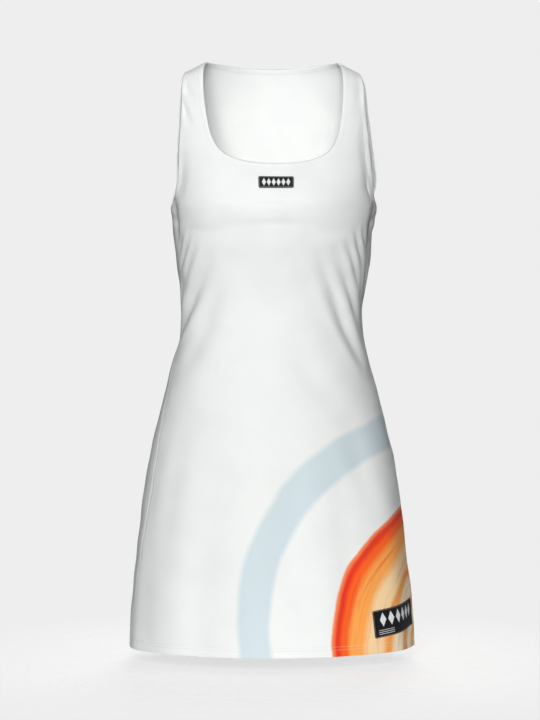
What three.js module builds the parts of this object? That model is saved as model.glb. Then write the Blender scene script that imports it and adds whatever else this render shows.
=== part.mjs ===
// A sleeveless sports dress in stretch jersey, filled out as if worn: front and back panels joined at the
// shoulders and sides, a bound neck, two bound armholes, and two patches on the front.
// Millimetres, +Z up. The front faces -Y and the wearer's left is +X. The origin lies midway between the
// shoulders, at the height of the straps' undersides.
//
// The cloth follows one smooth shape. A place on it is {turn, at}: turn is the angle in degrees round the
// figure, 0 at the front's middle, 90 at the wearer's left side and 180 at the back's middle, and at is the
// height in mm, measured over the shoulder's curve near the top, where it ends at the shoulder ridge.
import * as THREE from "three";

// Cloth and making
const CLOTH_WALL = 1.5;
const HEM_WALL = 2.6;
const HEM_DEPTH = 13;
const BINDING_WIDTH = 8;
const BINDING_WALL = 2.6;
const BINDING_EDGE_WALL = 1.8;
const SEAM_GAP = 0.3;

// Heights along the cloth
const HEM = -806;
const RIDGE = 20;
const CROWN_SPAN = 40;
const WAIST_BAND_LOW = -460;

// Shoulders and nape: the ridge rises towards the neck, and the nape lies further back
const NAPE_RISE = 17;
const SHOULDER_SLOPE = 0.55;
const SHOULDER_START = 84;
const SHOULDER_ROUNDING = 8;
const SHOULDER_FADE_LOW = -150;
const SWING_FULL = 0.4;
const NAPE_HALF = 100;
const NAPE_SOFTNESS = 0.15;
const NECK_AT_RIDGE = 90;
const BACK_NECK_LOW = -1.5;
const BACK_NECK_SQUARE = 2.5;

// Rows and columns of the panels
const STRAP_COLUMNS = 5;
const MIDDLE_COLUMNS = 18;
const SKIRT_ROWS = 13;
const BODICE_ROWS = 17;
const YOKE_ROWS = 9;
const STRAP_ROWS = 10;
const BACK_YOKE_ROWS = 18;

// Patches: middle, size and build
const PATCH_WALL = 1;
const CHEST_PATCH = { turn: 0, at: -167, width: 48, height: 16, tilt: 0, across: 6, up: 2 };
const HEM_PATCH = { turn: 59, at: -762, width: 101, height: 37, tilt: 6, across: 14, up: 4 };

const CLOTH_WHITE = { color: 0xf2f3f1, roughness: 0.62, metalness: 0 };
const PATCH_BLACK = { color: 0x17181b, roughness: 0.5, metalness: 0 };

// Rings round the figure: half breadths to the wearer's right and left, depths before and behind the side
// line, the side line's own place, how square the ring is, how far the back swings sideways, and how much
// further back the nape lies.
const SECTIONS = [
  { at: 20, right: 149, left: 149, front: 0, back: 0, side: 8, square: 2.4, swing: 0, nape: 62 },
  { at: 0, right: 150, left: 150, front: 20, back: 20, side: 8, square: 2.4, swing: 2, nape: 44 },
  { at: -20, right: 151, left: 151, front: 36, back: 38, side: 7, square: 2.4, swing: 3, nape: 32 },
  { at: -50, right: 152, left: 152, front: 55, back: 62, side: 6, square: 2.4, swing: 4, nape: 17 },
  { at: -85, right: 151, left: 152, front: 73, back: 80, side: 4, square: 2.4, swing: 5, nape: 7 },
  { at: -120, right: 149, left: 150.5, front: 89, back: 92, side: 3, square: 2.45, swing: 6, nape: 1 },
  { at: -155, right: 145.5, left: 148, front: 104, back: 97, side: 1, square: 2.5, swing: 6.5, nape: 0 },
  { at: -176, right: 143.5, left: 145, front: 112, back: 98, side: 0, square: 2.5, swing: 2.5, nape: 0 },
  { at: -197, right: 142, left: 144.5, front: 116, back: 98, side: 0, square: 2.5, swing: 0, nape: 0 },
  { at: -235, right: 137.5, left: 138.5, front: 108, back: 95, side: 0, square: 2.45, swing: 0, nape: 0 },
  { at: -270, right: 134, left: 136, front: 98, back: 89, side: 0, square: 2.35, swing: 0, nape: 0 },
  { at: -305, right: 129.5, left: 130, front: 91, back: 84, side: 0, square: 2.25, swing: 0, nape: 0 },
  { at: -341, right: 127.5, left: 125.5, front: 88, back: 81, side: 0, square: 2.2, swing: 0, nape: 0 },
  { at: -375, right: 130, left: 127.5, front: 92, back: 86, side: 0, square: 2.2, swing: 0, nape: 0 },
  { at: -420, right: 142, left: 138, front: 99, back: 97, side: 0, square: 2.2, swing: 0, nape: 0 },
  { at: -463, right: 153, left: 149.5, front: 107, back: 108, side: 0, square: 2.2, swing: 0, nape: 0 },
  { at: -534, right: 170.5, left: 167.5, front: 117, back: 120, side: 0, square: 2.15, swing: 0, nape: 0 },
  { at: -604, right: 182, left: 179, front: 125, back: 127, side: 0, square: 2.15, swing: 0, nape: 0 },
  { at: -675, right: 190.5, left: 187.5, front: 133, back: 132, side: 0, square: 2.1, swing: 0, nape: 0 },
  { at: -745, right: 197.5, left: 195.5, front: 141, back: 138, side: 0, square: 2.05, swing: 0, nape: 0 },
  { at: -806, right: 201, left: 200, front: 149, back: 143, side: 0, square: 2, swing: 0, nape: 0 },
];

// Where the side seams run, in degrees from the front's middle
const SIDE_SEAMS = [
  { at: -197, right: 90, left: 90 },
  { at: -300, right: 87, left: 89 },
  { at: -380, right: 82, left: 89 },
  { at: -463, right: 74, left: 90 },
  { at: -534, right: 68, left: 90 },
  { at: -604, right: 68, left: 90 },
  { at: -675, right: 71, left: 90 },
  { at: -745, right: 75, left: 90 },
  { at: -806, right: 82, left: 90 },
];

// The neck's finished front edge, from the middle up to the shoulder ridge
const FRONT_NECK = [
  { x: 0, at: -140 },
  { x: 24, at: -139 },
  { x: 45, at: -135.5 },
  { x: 62, at: -130 },
  { x: 74, at: -122 },
  { x: 82.5, at: -111 },
  { x: 88.5, at: -96 },
  { x: 92.5, at: -77 },
  { x: 95.5, at: -55 },
  { x: 97, at: -32 },
  { x: 96, at: -8 },
  { x: 90, at: 20 },
];

// The left armhole's finished edge, from the underarm up to the ridge, in front and behind
const FRONT_ARMHOLE = [
  { turn: 90, at: -197 },
  { turn: 78, at: -193 },
  { turn: 68.5, at: -183 },
  { turn: 62.5, at: -167 },
  { turn: 58.5, at: -140 },
  { turn: 55.5, at: -100 },
  { turn: 53, at: -55 },
  { turn: 53, at: -15 },
  { turn: 52, at: 10 },
  { turn: 51.8, at: 20 },
];
const BACK_ARMHOLE = [
  { turn: 90, at: -197 },
  { turn: 98, at: -193 },
  { turn: 104.5, at: -182 },
  { turn: 110, at: -162 },
  { turn: 114, at: -130 },
  { turn: 118, at: -95 },
  { turn: 122, at: -55 },
  { turn: 124.5, at: -15 },
  { turn: 127.6, at: 10 },
  { turn: 127.9, at: 20 },
];

// The largest folds: a trough from one place to another. bow bends it sideways, in mm.
const FOLDS = [
  { turn: 24, at: -272, toTurn: 64, toAt: -427, bow: -2.5, width: 11, depth: 4.6 },
  { turn: 33, at: -261, toTurn: 65, toAt: -355, bow: 3, width: 8, depth: 3.4 },
  { turn: -35, at: -259, toTurn: -98, toAt: -392, bow: -11.5, width: 10, depth: 4.6 },
  { turn: -30, at: -279, toTurn: -59, toAt: -435, bow: 2, width: 15, depth: 2.2 },
  { turn: -62, at: -234, toTurn: 60, toAt: -232, bow: -6, width: 18, depth: 1.5 },
  { turn: 158, at: -300, toTurn: 112, toAt: -372, bow: 8, width: 14, depth: 4.5 },
  { turn: 203, at: -296, toTurn: 250, toAt: -366, bow: -8, width: 14, depth: 4.5 },
  { turn: 150, at: -346, toTurn: 209, toAt: -340, bow: 7, width: 16, depth: 3.5 },
];

// Soft flutes of the skirt: how many round the figure, their phase, and their depth at the hem
const FLUTES = [
  { count: 6, phase: 25, depth: 2.2 },
  { count: 11, phase: 140, depth: 1.4 },
];
const FLUTES_START = -430;

// How far a degree of turn reaches round the figure, roughly
const MM_PER_DEGREE = 2.4;

// Small steps for measuring directions on the shape
const NUDGE_TURN = 0.4;
const NUDGE_AT = 0.4;
const NUDGE_ALONG = 0.004;
const SLIDE_STEPS = 3;
const radians = THREE.MathUtils.degToRad;
const degrees = THREE.MathUtils.radToDeg;
const mix = THREE.MathUtils.lerp;
const smoothstep = THREE.MathUtils.smoothstep;

// A value read between a table's rows, by a cubic through them. key orders the rows, rising or falling.
function between(rows, key, column, where) {
  const falling = rows[0][key] > rows[rows.length - 1][key];
  const order = falling ? -1 : 1;
  let i = 0;
  while (i < rows.length - 2 && order * where > order * rows[i + 1][key]) i += 1;
  const slope = (k) => {
    const before = rows[Math.max(k - 1, 0)];
    const after = rows[Math.min(k + 1, rows.length - 1)];
    return (after[column] - before[column]) / (after[key] - before[key]);
  };
  const span = rows[i + 1][key] - rows[i][key];
  const t = (where - rows[i][key]) / span;
  const rise = 3 * t * t - 2 * t * t * t;
  return (
    mix(rows[i][column], rows[i + 1][column], rise) +
    span * slope(i) * t * (1 - t) * (1 - t) -
    span * slope(i + 1) * t * t * (1 - t)
  );
}

// A curve through a table's rows, as a function of 0 to 1 by even steps along it. A unit of the horizontal
// column counts as so many mm.
function curveThrough(rows, horizontal, unit) {
  const curve = new THREE.CatmullRomCurve3(
    rows.map((row) => new THREE.Vector3(row[horizontal] * unit, row.at, 0)),
    false,
    "centripetal",
  );
  curve.arcLengthDivisions = 400;
  return (t) => {
    const point = curve.getPointAt(t);
    return { [horizontal]: point.x / unit, at: point.y };
  };
}

// Signed fraction of the half breadth and of the depth at an angle, on a ring of a given squareness.
function onRing(turn, square) {
  const s = Math.sin(radians(turn));
  const c = Math.cos(radians(turn));
  const reach = (Math.abs(s) ** square + Math.abs(c) ** square) ** (-1 / square);
  return { across: reach * s, forward: reach * c };
}

function heightOf(at) {
  const over = Math.max(0, at - (RIDGE - CROWN_SPAN)) / CROWN_SPAN;
  return Math.min(at, RIDGE - CROWN_SPAN) + CROWN_SPAN * (over - (over * over) / 2);
}

function shoulderRise(x) {
  const past = Math.abs(x) - SHOULDER_START;
  return NAPE_RISE - SHOULDER_SLOPE * 0.5 * (past + Math.hypot(past, SHOULDER_ROUNDING));
}

// The figure's shape before folds.
function plainPlace(turn, at) {
  const row = (column) => between(SECTIONS, "at", column, at);
  const { across, forward } = onRing(turn, row("square"));
  const x = across * row(across < 0 ? "right" : "left");
  const depth = forward * row(forward > 0 ? "front" : "back");
  const within = 1 - (x / NAPE_HALF) ** 2;
  const nape = (row("nape") * (within + Math.hypot(within, NAPE_SOFTNESS))) / 2;
  const swing = row("swing") * smoothstep(-forward, 0, SWING_FULL);
  return new THREE.Vector3(
    x + swing,
    row("side") + nape - depth,
    heightOf(at) + shoulderRise(x) * smoothstep(at, SHOULDER_FADE_LOW, RIDGE),
  );
}

// Directions of growing turn and height, and the outward normal, of a shape at a place.
function frameOf(shape, turn, at) {
  const high = Math.min(at + NUDGE_AT, RIDGE);
  const round = shape(turn + NUDGE_TURN, at).sub(shape(turn - NUDGE_TURN, at));
  const up = shape(turn, high).sub(shape(turn, at - NUDGE_AT));
  round.divideScalar(2 * NUDGE_TURN);
  up.divideScalar(high - at + NUDGE_AT);
  const normal = new THREE.Vector3().crossVectors(round, up).normalize();
  return { round, up, normal };
}

// Depth of one trough at a place, fading towards its ends.
function trough(fold, turn, at) {
  const alongX = (fold.toTurn - fold.turn) * MM_PER_DEGREE;
  const alongY = fold.toAt - fold.at;
  const length = Math.hypot(alongX, alongY);
  const dx = (((turn - fold.turn + 540) % 360) - 180) * MM_PER_DEGREE;
  const dy = at - fold.at;
  const t = (dx * alongX + dy * alongY) / (length * length);
  if (t <= 0 || t >= 1) return 0;
  const aside = (dx * alongY - dy * alongX) / length - fold.bow * 4 * t * (1 - t);
  return fold.depth * Math.sin(Math.PI * t) * Math.exp(-((aside / fold.width) ** 2));
}

function relief(turn, at) {
  const troughs = FOLDS.reduce((sum, fold) => sum + trough(fold, turn, at), 0);
  const grown = smoothstep(-at, -FLUTES_START, -HEM);
  const flutes = FLUTES.reduce(
    (sum, { count, phase, depth }) => sum + depth * Math.cos(radians(count * turn + phase)),
    0,
  );
  return flutes * grown - troughs;
}

// A place on the finished cloth's middle surface, folds included.
function clothPlace(turn, at) {
  const { normal } = frameOf(plainPlace, turn, at);
  return plainPlace(turn, at).addScaledVector(normal, relief(turn, at));
}

// The place reached by going a distance over the cloth in a direction of space.
function slide(place, direction, distance) {
  let { turn, at } = place;
  for (let i = 0; i < SLIDE_STEPS; i += 1) {
    const { round, up } = frameOf(plainPlace, turn, at);
    const rr = round.dot(round);
    const ru = round.dot(up);
    const uu = up.dot(up);
    const r = direction.dot(round);
    const u = direction.dot(up);
    const scale = distance / SLIDE_STEPS / (rr * uu - ru * ru);
    turn += scale * (r * uu - u * ru);
    at = Math.min(RIDGE, at + scale * (u * rr - r * ru));
  }
  return { turn, at };
}

// The place a distance to the left of a travelled edge, along the cloth.
function besideEdge(edge, t, distance, towardLeft) {
  const before = edge(Math.max(0, t - NUDGE_ALONG));
  const after = edge(Math.min(1, t + NUDGE_ALONG));
  const here = edge(t);
  const travel = plainPlace(after.turn, after.at).sub(plainPlace(before.turn, before.at));
  const { normal } = frameOf(plainPlace, here.turn, here.at);
  const aside = new THREE.Vector3().crossVectors(normal, travel).normalize();
  return slide(here, aside.multiplyScalar(towardLeft ? 1 : -1), distance);
}

// The angle at which a ring reaches a sideways distance, in front or behind.
function turnAt(x, at, behind) {
  const row = (column) => between(SECTIONS, "at", column, at);
  const across = Math.abs(x) / row(x < 0 ? "right" : "left");
  const square = row("square");
  const forward = (1 - across ** square) ** (1 / square);
  const turn = degrees(Math.atan2(across, forward)) * (x < 0 ? -1 : 1);
  return behind ? 180 - turn : turn;
}

// Finished edges, each a function of 0 to 1 that gives a place.
const frontNeckCurve = curveThrough(FRONT_NECK, "x", 1);
const frontArmholeCurve = curveThrough(FRONT_ARMHOLE, "turn", MM_PER_DEGREE);
const backArmholeCurve = curveThrough(BACK_ARMHOLE, "turn", MM_PER_DEGREE);

const frontNeckEdge = (side) => (t) => {
  const { x, at } = frontNeckCurve(t);
  return { turn: turnAt(side * x, at, false), at };
};
const frontArmholeEdge = (side) => (t) => {
  const { turn, at } = frontArmholeCurve(t);
  return { turn: side * turn, at };
};
const backArmholeEdge = (side) => (t) => {
  const { turn, at } = backArmholeCurve(t);
  return { turn: side > 0 ? turn : 360 - turn, at };
};
// Across the nape, from the wearer's left to right
const backNeckEdge = (t) => {
  const { across, forward } = onRing(90 - 180 * t, BACK_NECK_SQUARE);
  const at = mix(RIDGE, BACK_NECK_LOW, forward);
  return { turn: (turnAt(across * NECK_AT_RIDGE, at, true) + 360) % 360, at };
};

const LEFT = 1;
const RIGHT = -1;
const UNDER_BINDING = BINDING_WIDTH + SEAM_GAP;
const NECK_CORNER = 0.5;
const ARMHOLE_CORNER = 0.55;
// How far in from an armhole its bend still shapes the columns, as a share of the panel's breadth
const EDGE_REACH = 0.5;

const frontNeckCut = (side) => (t) => besideEdge(frontNeckEdge(side), t, UNDER_BINDING, side < 0);
const frontArmholeCut = (side) => (t) => besideEdge(frontArmholeEdge(side), t, UNDER_BINDING, side > 0);
const backArmholeCut = (side) => (t) => besideEdge(backArmholeEdge(side), t, UNDER_BINDING, side < 0);
const backNeckCut = (t) => besideEdge(backNeckEdge, t, UNDER_BINDING, false);

// The angle of a side seam's cut edge, half a gap to the front or the back of it.
function seamTurn(side, at, towardBack) {
  const turn = between(SIDE_SEAMS, "at", side > 0 ? "left" : "right", at);
  const { round } = frameOf(plainPlace, side * turn, at);
  const half = SEAM_GAP / 2 / round.length();
  return side * (turn + (towardBack ? half : -half));
}

// Heights of the rows that both panels share, from the hem up to the underarm.
function sharedRows() {
  const top = frontArmholeCut(LEFT)(0).at;
  const rows = [HEM, HEM + HEM_DEPTH, HEM + HEM_DEPTH + 1];
  for (let i = 1; i <= SKIRT_ROWS; i += 1) rows.push(mix(rows[2], WAIST_BAND_LOW, i / SKIRT_ROWS));
  for (let i = 1; i <= BODICE_ROWS; i += 1) rows.push(mix(WAIST_BAND_LOW, top, i / BODICE_ROWS));
  return rows;
}

const ROWS = sharedRows();
const LAST_SHARED = ROWS.length - 1;
const COLUMNS = MIDDLE_COLUMNS + 2 * STRAP_COLUMNS;

const mixPlace = (a, b, t) => ({ turn: mix(a.turn, b.turn, t), at: mix(a.at, b.at, t) });

// A place inside four edges that meet at their corners. It runs straight up from the low edge to the high
// one, and bends with the first and last edges where it is near them.
function inside(low, high, first, last, across, up) {
  const place = mixPlace(low(across), high(across), up);
  [
    { edge: first, end: 0, away: across },
    { edge: last, end: 1, away: 1 - across },
  ].forEach(({ edge, end, away }) => {
    const near = Math.max(0, 1 - away / EDGE_REACH) ** 2;
    const straight = mixPlace(low(end), high(end), up);
    const bent = edge(up);
    place.turn += near * (bent.turn - straight.turn);
    place.at += near * (bent.at - straight.at);
  });
  return place;
}

// The front panel's places, one list for each column. The middle columns stop at the neck.
function frontPlaces() {
  const strapTop = { right: frontArmholeCut(RIGHT), left: frontArmholeCut(LEFT) };
  const neck = { right: frontNeckCut(RIGHT), left: frontNeckCut(LEFT) };
  const underarmRow = (across) => ({
    turn: mix(strapTop.right(0).turn, strapTop.left(0).turn, across),
    at: ROWS[LAST_SHARED],
  });
  const yokeLine = (across) => {
    const column = across * COLUMNS;
    if (column <= STRAP_COLUMNS) {
      return mixPlace(strapTop.right(ARMHOLE_CORNER), neck.right(NECK_CORNER), column / STRAP_COLUMNS);
    }
    if (column >= COLUMNS - STRAP_COLUMNS) {
      const t = (COLUMNS - column) / STRAP_COLUMNS;
      return mixPlace(strapTop.left(ARMHOLE_CORNER), neck.left(NECK_CORNER), t);
    }
    const t = (column - STRAP_COLUMNS) / MIDDLE_COLUMNS;
    const cut = t < 0.5 ? neck.right : neck.left;
    return cut(NECK_CORNER * Math.abs(1 - 2 * t));
  };
  const columns = [];
  for (let i = 0; i <= COLUMNS; i += 1) {
    const across = i / COLUMNS;
    const column = ROWS.slice(0, LAST_SHARED).map((at) => ({
      turn: mix(seamTurn(RIGHT, at, false), seamTurn(LEFT, at, false), across),
      at,
    }));
    column.push(underarmRow(across));
    for (let j = 1; j <= YOKE_ROWS; j += 1) {
      const up = j / YOKE_ROWS;
      const first = (t) => strapTop.right(ARMHOLE_CORNER * t);
      const last = (t) => strapTop.left(ARMHOLE_CORNER * t);
      column.push(inside(underarmRow, yokeLine, first, last, across, up));
    }
    const fromEdge = Math.min(i, COLUMNS - i);
    if (fromEdge <= STRAP_COLUMNS) {
      const side = i < COLUMNS / 2 ? "right" : "left";
      for (let j = 1; j <= STRAP_ROWS; j += 1) {
        const armhole = strapTop[side](mix(ARMHOLE_CORNER, 1, j / STRAP_ROWS));
        const beside = neck[side](mix(NECK_CORNER, 1, j / STRAP_ROWS));
        const place = mixPlace(armhole, beside, fromEdge / STRAP_COLUMNS);
        place.at = Math.min(place.at, RIDGE - SEAM_GAP / 2);
        column.push(place);
      }
    }
    columns.push(column);
  }
  return columns;
}

// The back panel's places, from the wearer's left side seam round the back to the right one.
function backPlaces() {
  const armhole = { left: backArmholeCut(LEFT), right: backArmholeCut(RIGHT) };
  const underarmRow = (across) => ({
    turn: mix(armhole.left(0).turn, armhole.right(0).turn, across),
    at: ROWS[LAST_SHARED],
  });
  const topEdge = (across) => {
    const column = across * COLUMNS;
    const ridge = RIDGE - SEAM_GAP / 2;
    if (column <= STRAP_COLUMNS) {
      const place = mixPlace(armhole.left(1), backNeckCut(0), column / STRAP_COLUMNS);
      return { turn: place.turn, at: Math.min(place.at, ridge) };
    }
    if (column >= COLUMNS - STRAP_COLUMNS) {
      const t = (COLUMNS - column) / STRAP_COLUMNS;
      const place = mixPlace(armhole.right(1), backNeckCut(1), t);
      return { turn: place.turn, at: Math.min(place.at, ridge) };
    }
    const place = backNeckCut((column - STRAP_COLUMNS) / MIDDLE_COLUMNS);
    return { turn: place.turn, at: Math.min(place.at, ridge) };
  };
  const columns = [];
  for (let i = 0; i <= COLUMNS; i += 1) {
    const across = i / COLUMNS;
    const column = ROWS.slice(0, LAST_SHARED).map((at) => ({
      turn: mix(seamTurn(LEFT, at, true), 360 + seamTurn(RIGHT, at, true), across),
      at,
    }));
    column.push(underarmRow(across));
    for (let j = 1; j <= BACK_YOKE_ROWS; j += 1) {
      const up = j / BACK_YOKE_ROWS;
      const place = inside(underarmRow, topEdge, armhole.left, armhole.right, across, up);
      column.push({ turn: place.turn, at: Math.min(place.at, RIDGE - SEAM_GAP / 2) });
    }
    columns.push(column);
  }
  return columns;
}

// A closed wall from columns of places. wallAt gives how far it lies out of and into the middle surface.
// A ring's last column joins its first.
function wall(columns, wallAt, ring = false) {
  const outer = [];
  const inner = [];
  const numbers = columns.map((column, i) =>
    column.map((place, j) => {
      const middle = clothPlace(place.turn, place.at);
      const { normal } = frameOf(clothPlace, place.turn, place.at);
      const { out, into } = wallAt(i, j, place);
      outer.push(middle.clone().addScaledVector(normal, out));
      inner.push(middle.clone().addScaledVector(normal, -into));
      return outer.length - 1;
    }),
  );
  const faces = [];
  const cells = ring ? numbers.length : numbers.length - 1;
  for (let i = 0; i < cells; i += 1) {
    const here = numbers[i];
    const next = numbers[(i + 1) % numbers.length];
    for (let j = 0; j + 1 < Math.min(here.length, next.length); j += 1) {
      faces.push([here[j], next[j], next[j + 1]], [here[j], next[j + 1], here[j + 1]]);
    }
  }
  const layer = outer.length;
  const index = [];
  const single = new Map();
  for (const face of faces) {
    index.push(...face, face[2] + layer, face[1] + layer, face[0] + layer);
    face.forEach((a, k) => {
      const b = face[(k + 1) % 3];
      if (!single.delete(`${b}_${a}`)) single.set(`${a}_${b}`, [a, b]);
    });
  }
  for (const [a, b] of single.values()) {
    index.push(a, a + layer, b + layer, a, b + layer, b);
  }
  const points = [...outer, ...inner];
  const geometry = new THREE.BufferGeometry();
  const positions = new Float32Array(points.flatMap((p) => p.toArray()));
  geometry.setAttribute("position", new THREE.BufferAttribute(positions, 3));
  geometry.setIndex(index);
  geometry.computeVertexNormals();
  return geometry;
}

// A panel is one layer of cloth, and two where the hem is turned up inside.
const panelWall = (i, j, place) => ({
  out: CLOTH_WALL / 2,
  into: place.at < HEM + HEM_DEPTH + 0.5 ? HEM_WALL - CLOTH_WALL / 2 : CLOTH_WALL / 2,
});

// A binding is plump along its middle.
const bindingWall = (i, j) => {
  const half = (j === 1 ? BINDING_WALL : BINDING_EDGE_WALL) / 2;
  return { out: half, into: half };
};

// One column of a binding: from the finished edge to the edge that meets the panel.
function bindingColumn(edge, t, towardLeft) {
  return [0, BINDING_WIDTH / 2, BINDING_WIDTH].map((width) => besideEdge(edge, t, width, towardLeft));
}

const evenly = (count, from, to) =>
  Array.from({ length: count }, (_, i) => mix(from, to, i / count));

// The neck's binding runs from the front's middle up the left, across the nape and down the right.
function neckBinding() {
  const columns = [];
  const frontSteps = [
    ...evenly(MIDDLE_COLUMNS / 2, 0, NECK_CORNER),
    ...evenly(STRAP_ROWS, NECK_CORNER, 1),
    1,
  ];
  frontSteps.forEach((t) => columns.push(bindingColumn(frontNeckEdge(LEFT), t, false)));
  evenly(MIDDLE_COLUMNS, 0, 1)
    .slice(1)
    .forEach((t) => columns.push(bindingColumn(backNeckEdge, t, false)));
  frontSteps
    .slice(1)
    .reverse()
    .forEach((t) => columns.push(bindingColumn(frontNeckEdge(RIGHT), t, true)));
  return wall(columns.reverse(), bindingWall, true);
}

// An armhole's binding runs from the underarm up the front, over the ridge and down the back.
function armholeBinding(side) {
  const frontSteps = [
    ...evenly(YOKE_ROWS, 0, ARMHOLE_CORNER),
    ...evenly(STRAP_ROWS, ARMHOLE_CORNER, 1),
    1,
  ];
  const backSteps = evenly(BACK_YOKE_ROWS, 0, 1).slice(1).reverse();
  const columns = [
    ...frontSteps.map((t) => bindingColumn(frontArmholeEdge(side), t, side > 0)),
    ...backSteps.map((t) => bindingColumn(backArmholeEdge(side), t, side < 0)),
  ];
  if (side < 0) columns.reverse();
  return wall(columns, bindingWall, true);
}

// A patch sewn flat on the front. Its places are measured out from its middle, along its own sides.
function patch({ turn, at, width, height, tilt, across, up }) {
  const s = Math.sin(radians(tilt));
  const c = Math.cos(radians(tilt));
  const columns = Array.from({ length: across + 1 }, (_, i) =>
    Array.from({ length: up + 1 }, (__, j) => {
      const x = mix(-width / 2, width / 2, i / across);
      const y = mix(-height / 2, height / 2, j / up);
      const aside = c * x - s * y;
      const { round } = frameOf(plainPlace, turn, at);
      const middle = slide({ turn, at }, round.normalize(), aside / 2);
      const onward = frameOf(plainPlace, middle.turn, middle.at).round.normalize();
      const there = slide(middle, onward, aside / 2);
      return { turn: there.turn, at: at + s * x + c * y };
    }),
  );
  const under = CLOTH_WALL / 2 + SEAM_GAP;
  return wall(columns, () => ({ out: under + PATCH_WALL, into: -under }));
}

function piece(name, geometry, finish) {
  const mesh = new THREE.Mesh(geometry, new THREE.MeshStandardMaterial(finish));
  mesh.name = name;
  return mesh;
}

const dress = new THREE.Group();
dress.add(
  piece("front_panel", wall(frontPlaces(), panelWall), CLOTH_WHITE),
  piece("back_panel", wall(backPlaces(), panelWall), CLOTH_WHITE),
  piece("neck_binding", neckBinding(), CLOTH_WHITE),
  piece("armhole_binding_left", armholeBinding(LEFT), CLOTH_WHITE),
  piece("armhole_binding_right", armholeBinding(RIGHT), CLOTH_WHITE),
  piece("chest_patch", patch(CHEST_PATCH), PATCH_BLACK),
  piece("hem_patch", patch(HEM_PATCH), PATCH_BLACK),
);

export default dress;
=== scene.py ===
"""A white sleeveless sports dress in stretch jersey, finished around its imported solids.

Lengths in the tables are millimetres, as a cutter states them; meshes are in metres. A place on the cloth
is a pair of arrays, turn and at: turn is the angle in degrees round the figure, 0 at the front's middle, 90
at the wearer's left side and 180 at the back's middle; at is the height, measured over the shoulder's curve
near the top, where it ends at the shoulder ridge.
"""

import logging
import math
from dataclasses import dataclass, field
from enum import Enum
from typing import Callable

import bpy
import numpy as np
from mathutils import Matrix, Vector


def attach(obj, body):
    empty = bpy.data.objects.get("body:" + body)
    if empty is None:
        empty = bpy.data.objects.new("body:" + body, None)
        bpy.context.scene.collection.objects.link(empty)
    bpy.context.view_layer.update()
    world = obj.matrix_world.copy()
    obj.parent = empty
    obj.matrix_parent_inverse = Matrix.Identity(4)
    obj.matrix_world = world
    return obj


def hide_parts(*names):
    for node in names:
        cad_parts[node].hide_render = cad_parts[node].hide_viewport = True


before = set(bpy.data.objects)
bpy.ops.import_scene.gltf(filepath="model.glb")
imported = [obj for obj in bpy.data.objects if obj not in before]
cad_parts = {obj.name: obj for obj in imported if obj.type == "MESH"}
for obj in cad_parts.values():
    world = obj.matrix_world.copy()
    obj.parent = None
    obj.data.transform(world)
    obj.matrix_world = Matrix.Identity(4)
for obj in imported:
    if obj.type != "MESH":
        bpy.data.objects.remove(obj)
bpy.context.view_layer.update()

LOG = logging.getLogger("dress")
Array = np.ndarray
Places = tuple[Array, Array]
Edge = Callable[[Array], Places]
Piece = bpy.types.Object
Socket = bpy.types.NodeSocket
Material = bpy.types.Material
Colour = tuple[float, float, float, float]
Stops = tuple[tuple[float, Colour], ...]

MM = 0.001
# Heights of the hem, of its stitches above it, and of the shoulder ridge, below which the shoulder curves
HEM = -806.0
HEM_STITCHES = (9.0, 13.0)
RIDGE = 20.0
CROWN_SPAN = 40.0
# How much cloth a degree of turn counts as, on average
MM_PER_DEGREE = 2.4
# Steps for reading how the form runs: in degrees, in mm, and as a share of an edge
NUDGE_TURN = 0.4
NUDGE_AT = 0.4
NUDGE_ALONG = 0.004
SLIDE_STEPS = 3
SPLINE_STEPS = 1200
# A fold's banks: their place in half widths from its middle, and how sharp they are
BANK_PLACE = 2.0
BANK_SHARPNESS = 1.5
# Faces that meet at more than this are shaded apart
SHARP_EDGE = math.radians(60)
# The radius given to cloth that holds no print
NO_PRINT = 2000.0
# Whole repeats before a patch's middle, so that PINGPONG reads no negative number
REPEATS_BEFORE = 1000
# A lamp with less spread than this is narrow
NARROW = 90.0


class Side(Enum):
    """The wearer's side of the dress, as the sign of X."""

    LEFT = 1
    RIGHT = -1


# Rings round the figure: half breadths to the wearer's right and left, depths before and behind the side
# line, the side line's own place, how square the ring is, how far the back swings sideways, and how much
# further back the nape lies.
SECTION_COLUMNS = ("at", "right", "left", "front", "back", "side", "square", "swing", "nape")
SECTIONS = (
    (20, 149, 149, 0, 0, 8, 2.4, 0, 62),
    (0, 150, 150, 20, 20, 8, 2.4, 2, 44),
    (-20, 151, 151, 36, 38, 7, 2.4, 3, 32),
    (-50, 152, 152, 55, 62, 6, 2.4, 4, 17),
    (-85, 151, 152, 73, 80, 4, 2.4, 5, 7),
    (-120, 149, 150.5, 89, 92, 3, 2.45, 6, 1),
    (-155, 145.5, 148, 104, 97, 1, 2.5, 6.5, 0),
    (-176, 143.5, 145, 112, 98, 0, 2.5, 2.5, 0),
    (-197, 142, 144.5, 116, 98, 0, 2.5, 0, 0),
    (-235, 137.5, 138.5, 108, 95, 0, 2.45, 0, 0),
    (-270, 134, 136, 98, 89, 0, 2.35, 0, 0),
    (-305, 129.5, 130, 91, 84, 0, 2.25, 0, 0),
    (-341, 127.5, 125.5, 88, 81, 0, 2.2, 0, 0),
    (-375, 130, 127.5, 92, 86, 0, 2.2, 0, 0),
    (-420, 142, 138, 99, 97, 0, 2.2, 0, 0),
    (-463, 153, 149.5, 107, 108, 0, 2.2, 0, 0),
    (-534, 170.5, 167.5, 117, 120, 0, 2.15, 0, 0),
    (-604, 182, 179, 125, 127, 0, 2.15, 0, 0),
    (-675, 190.5, 187.5, 133, 132, 0, 2.1, 0, 0),
    (-745, 197.5, 195.5, 141, 138, 0, 2.05, 0, 0),
    (-806, 201, 200, 149, 143, 0, 2, 0, 0),
)

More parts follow.
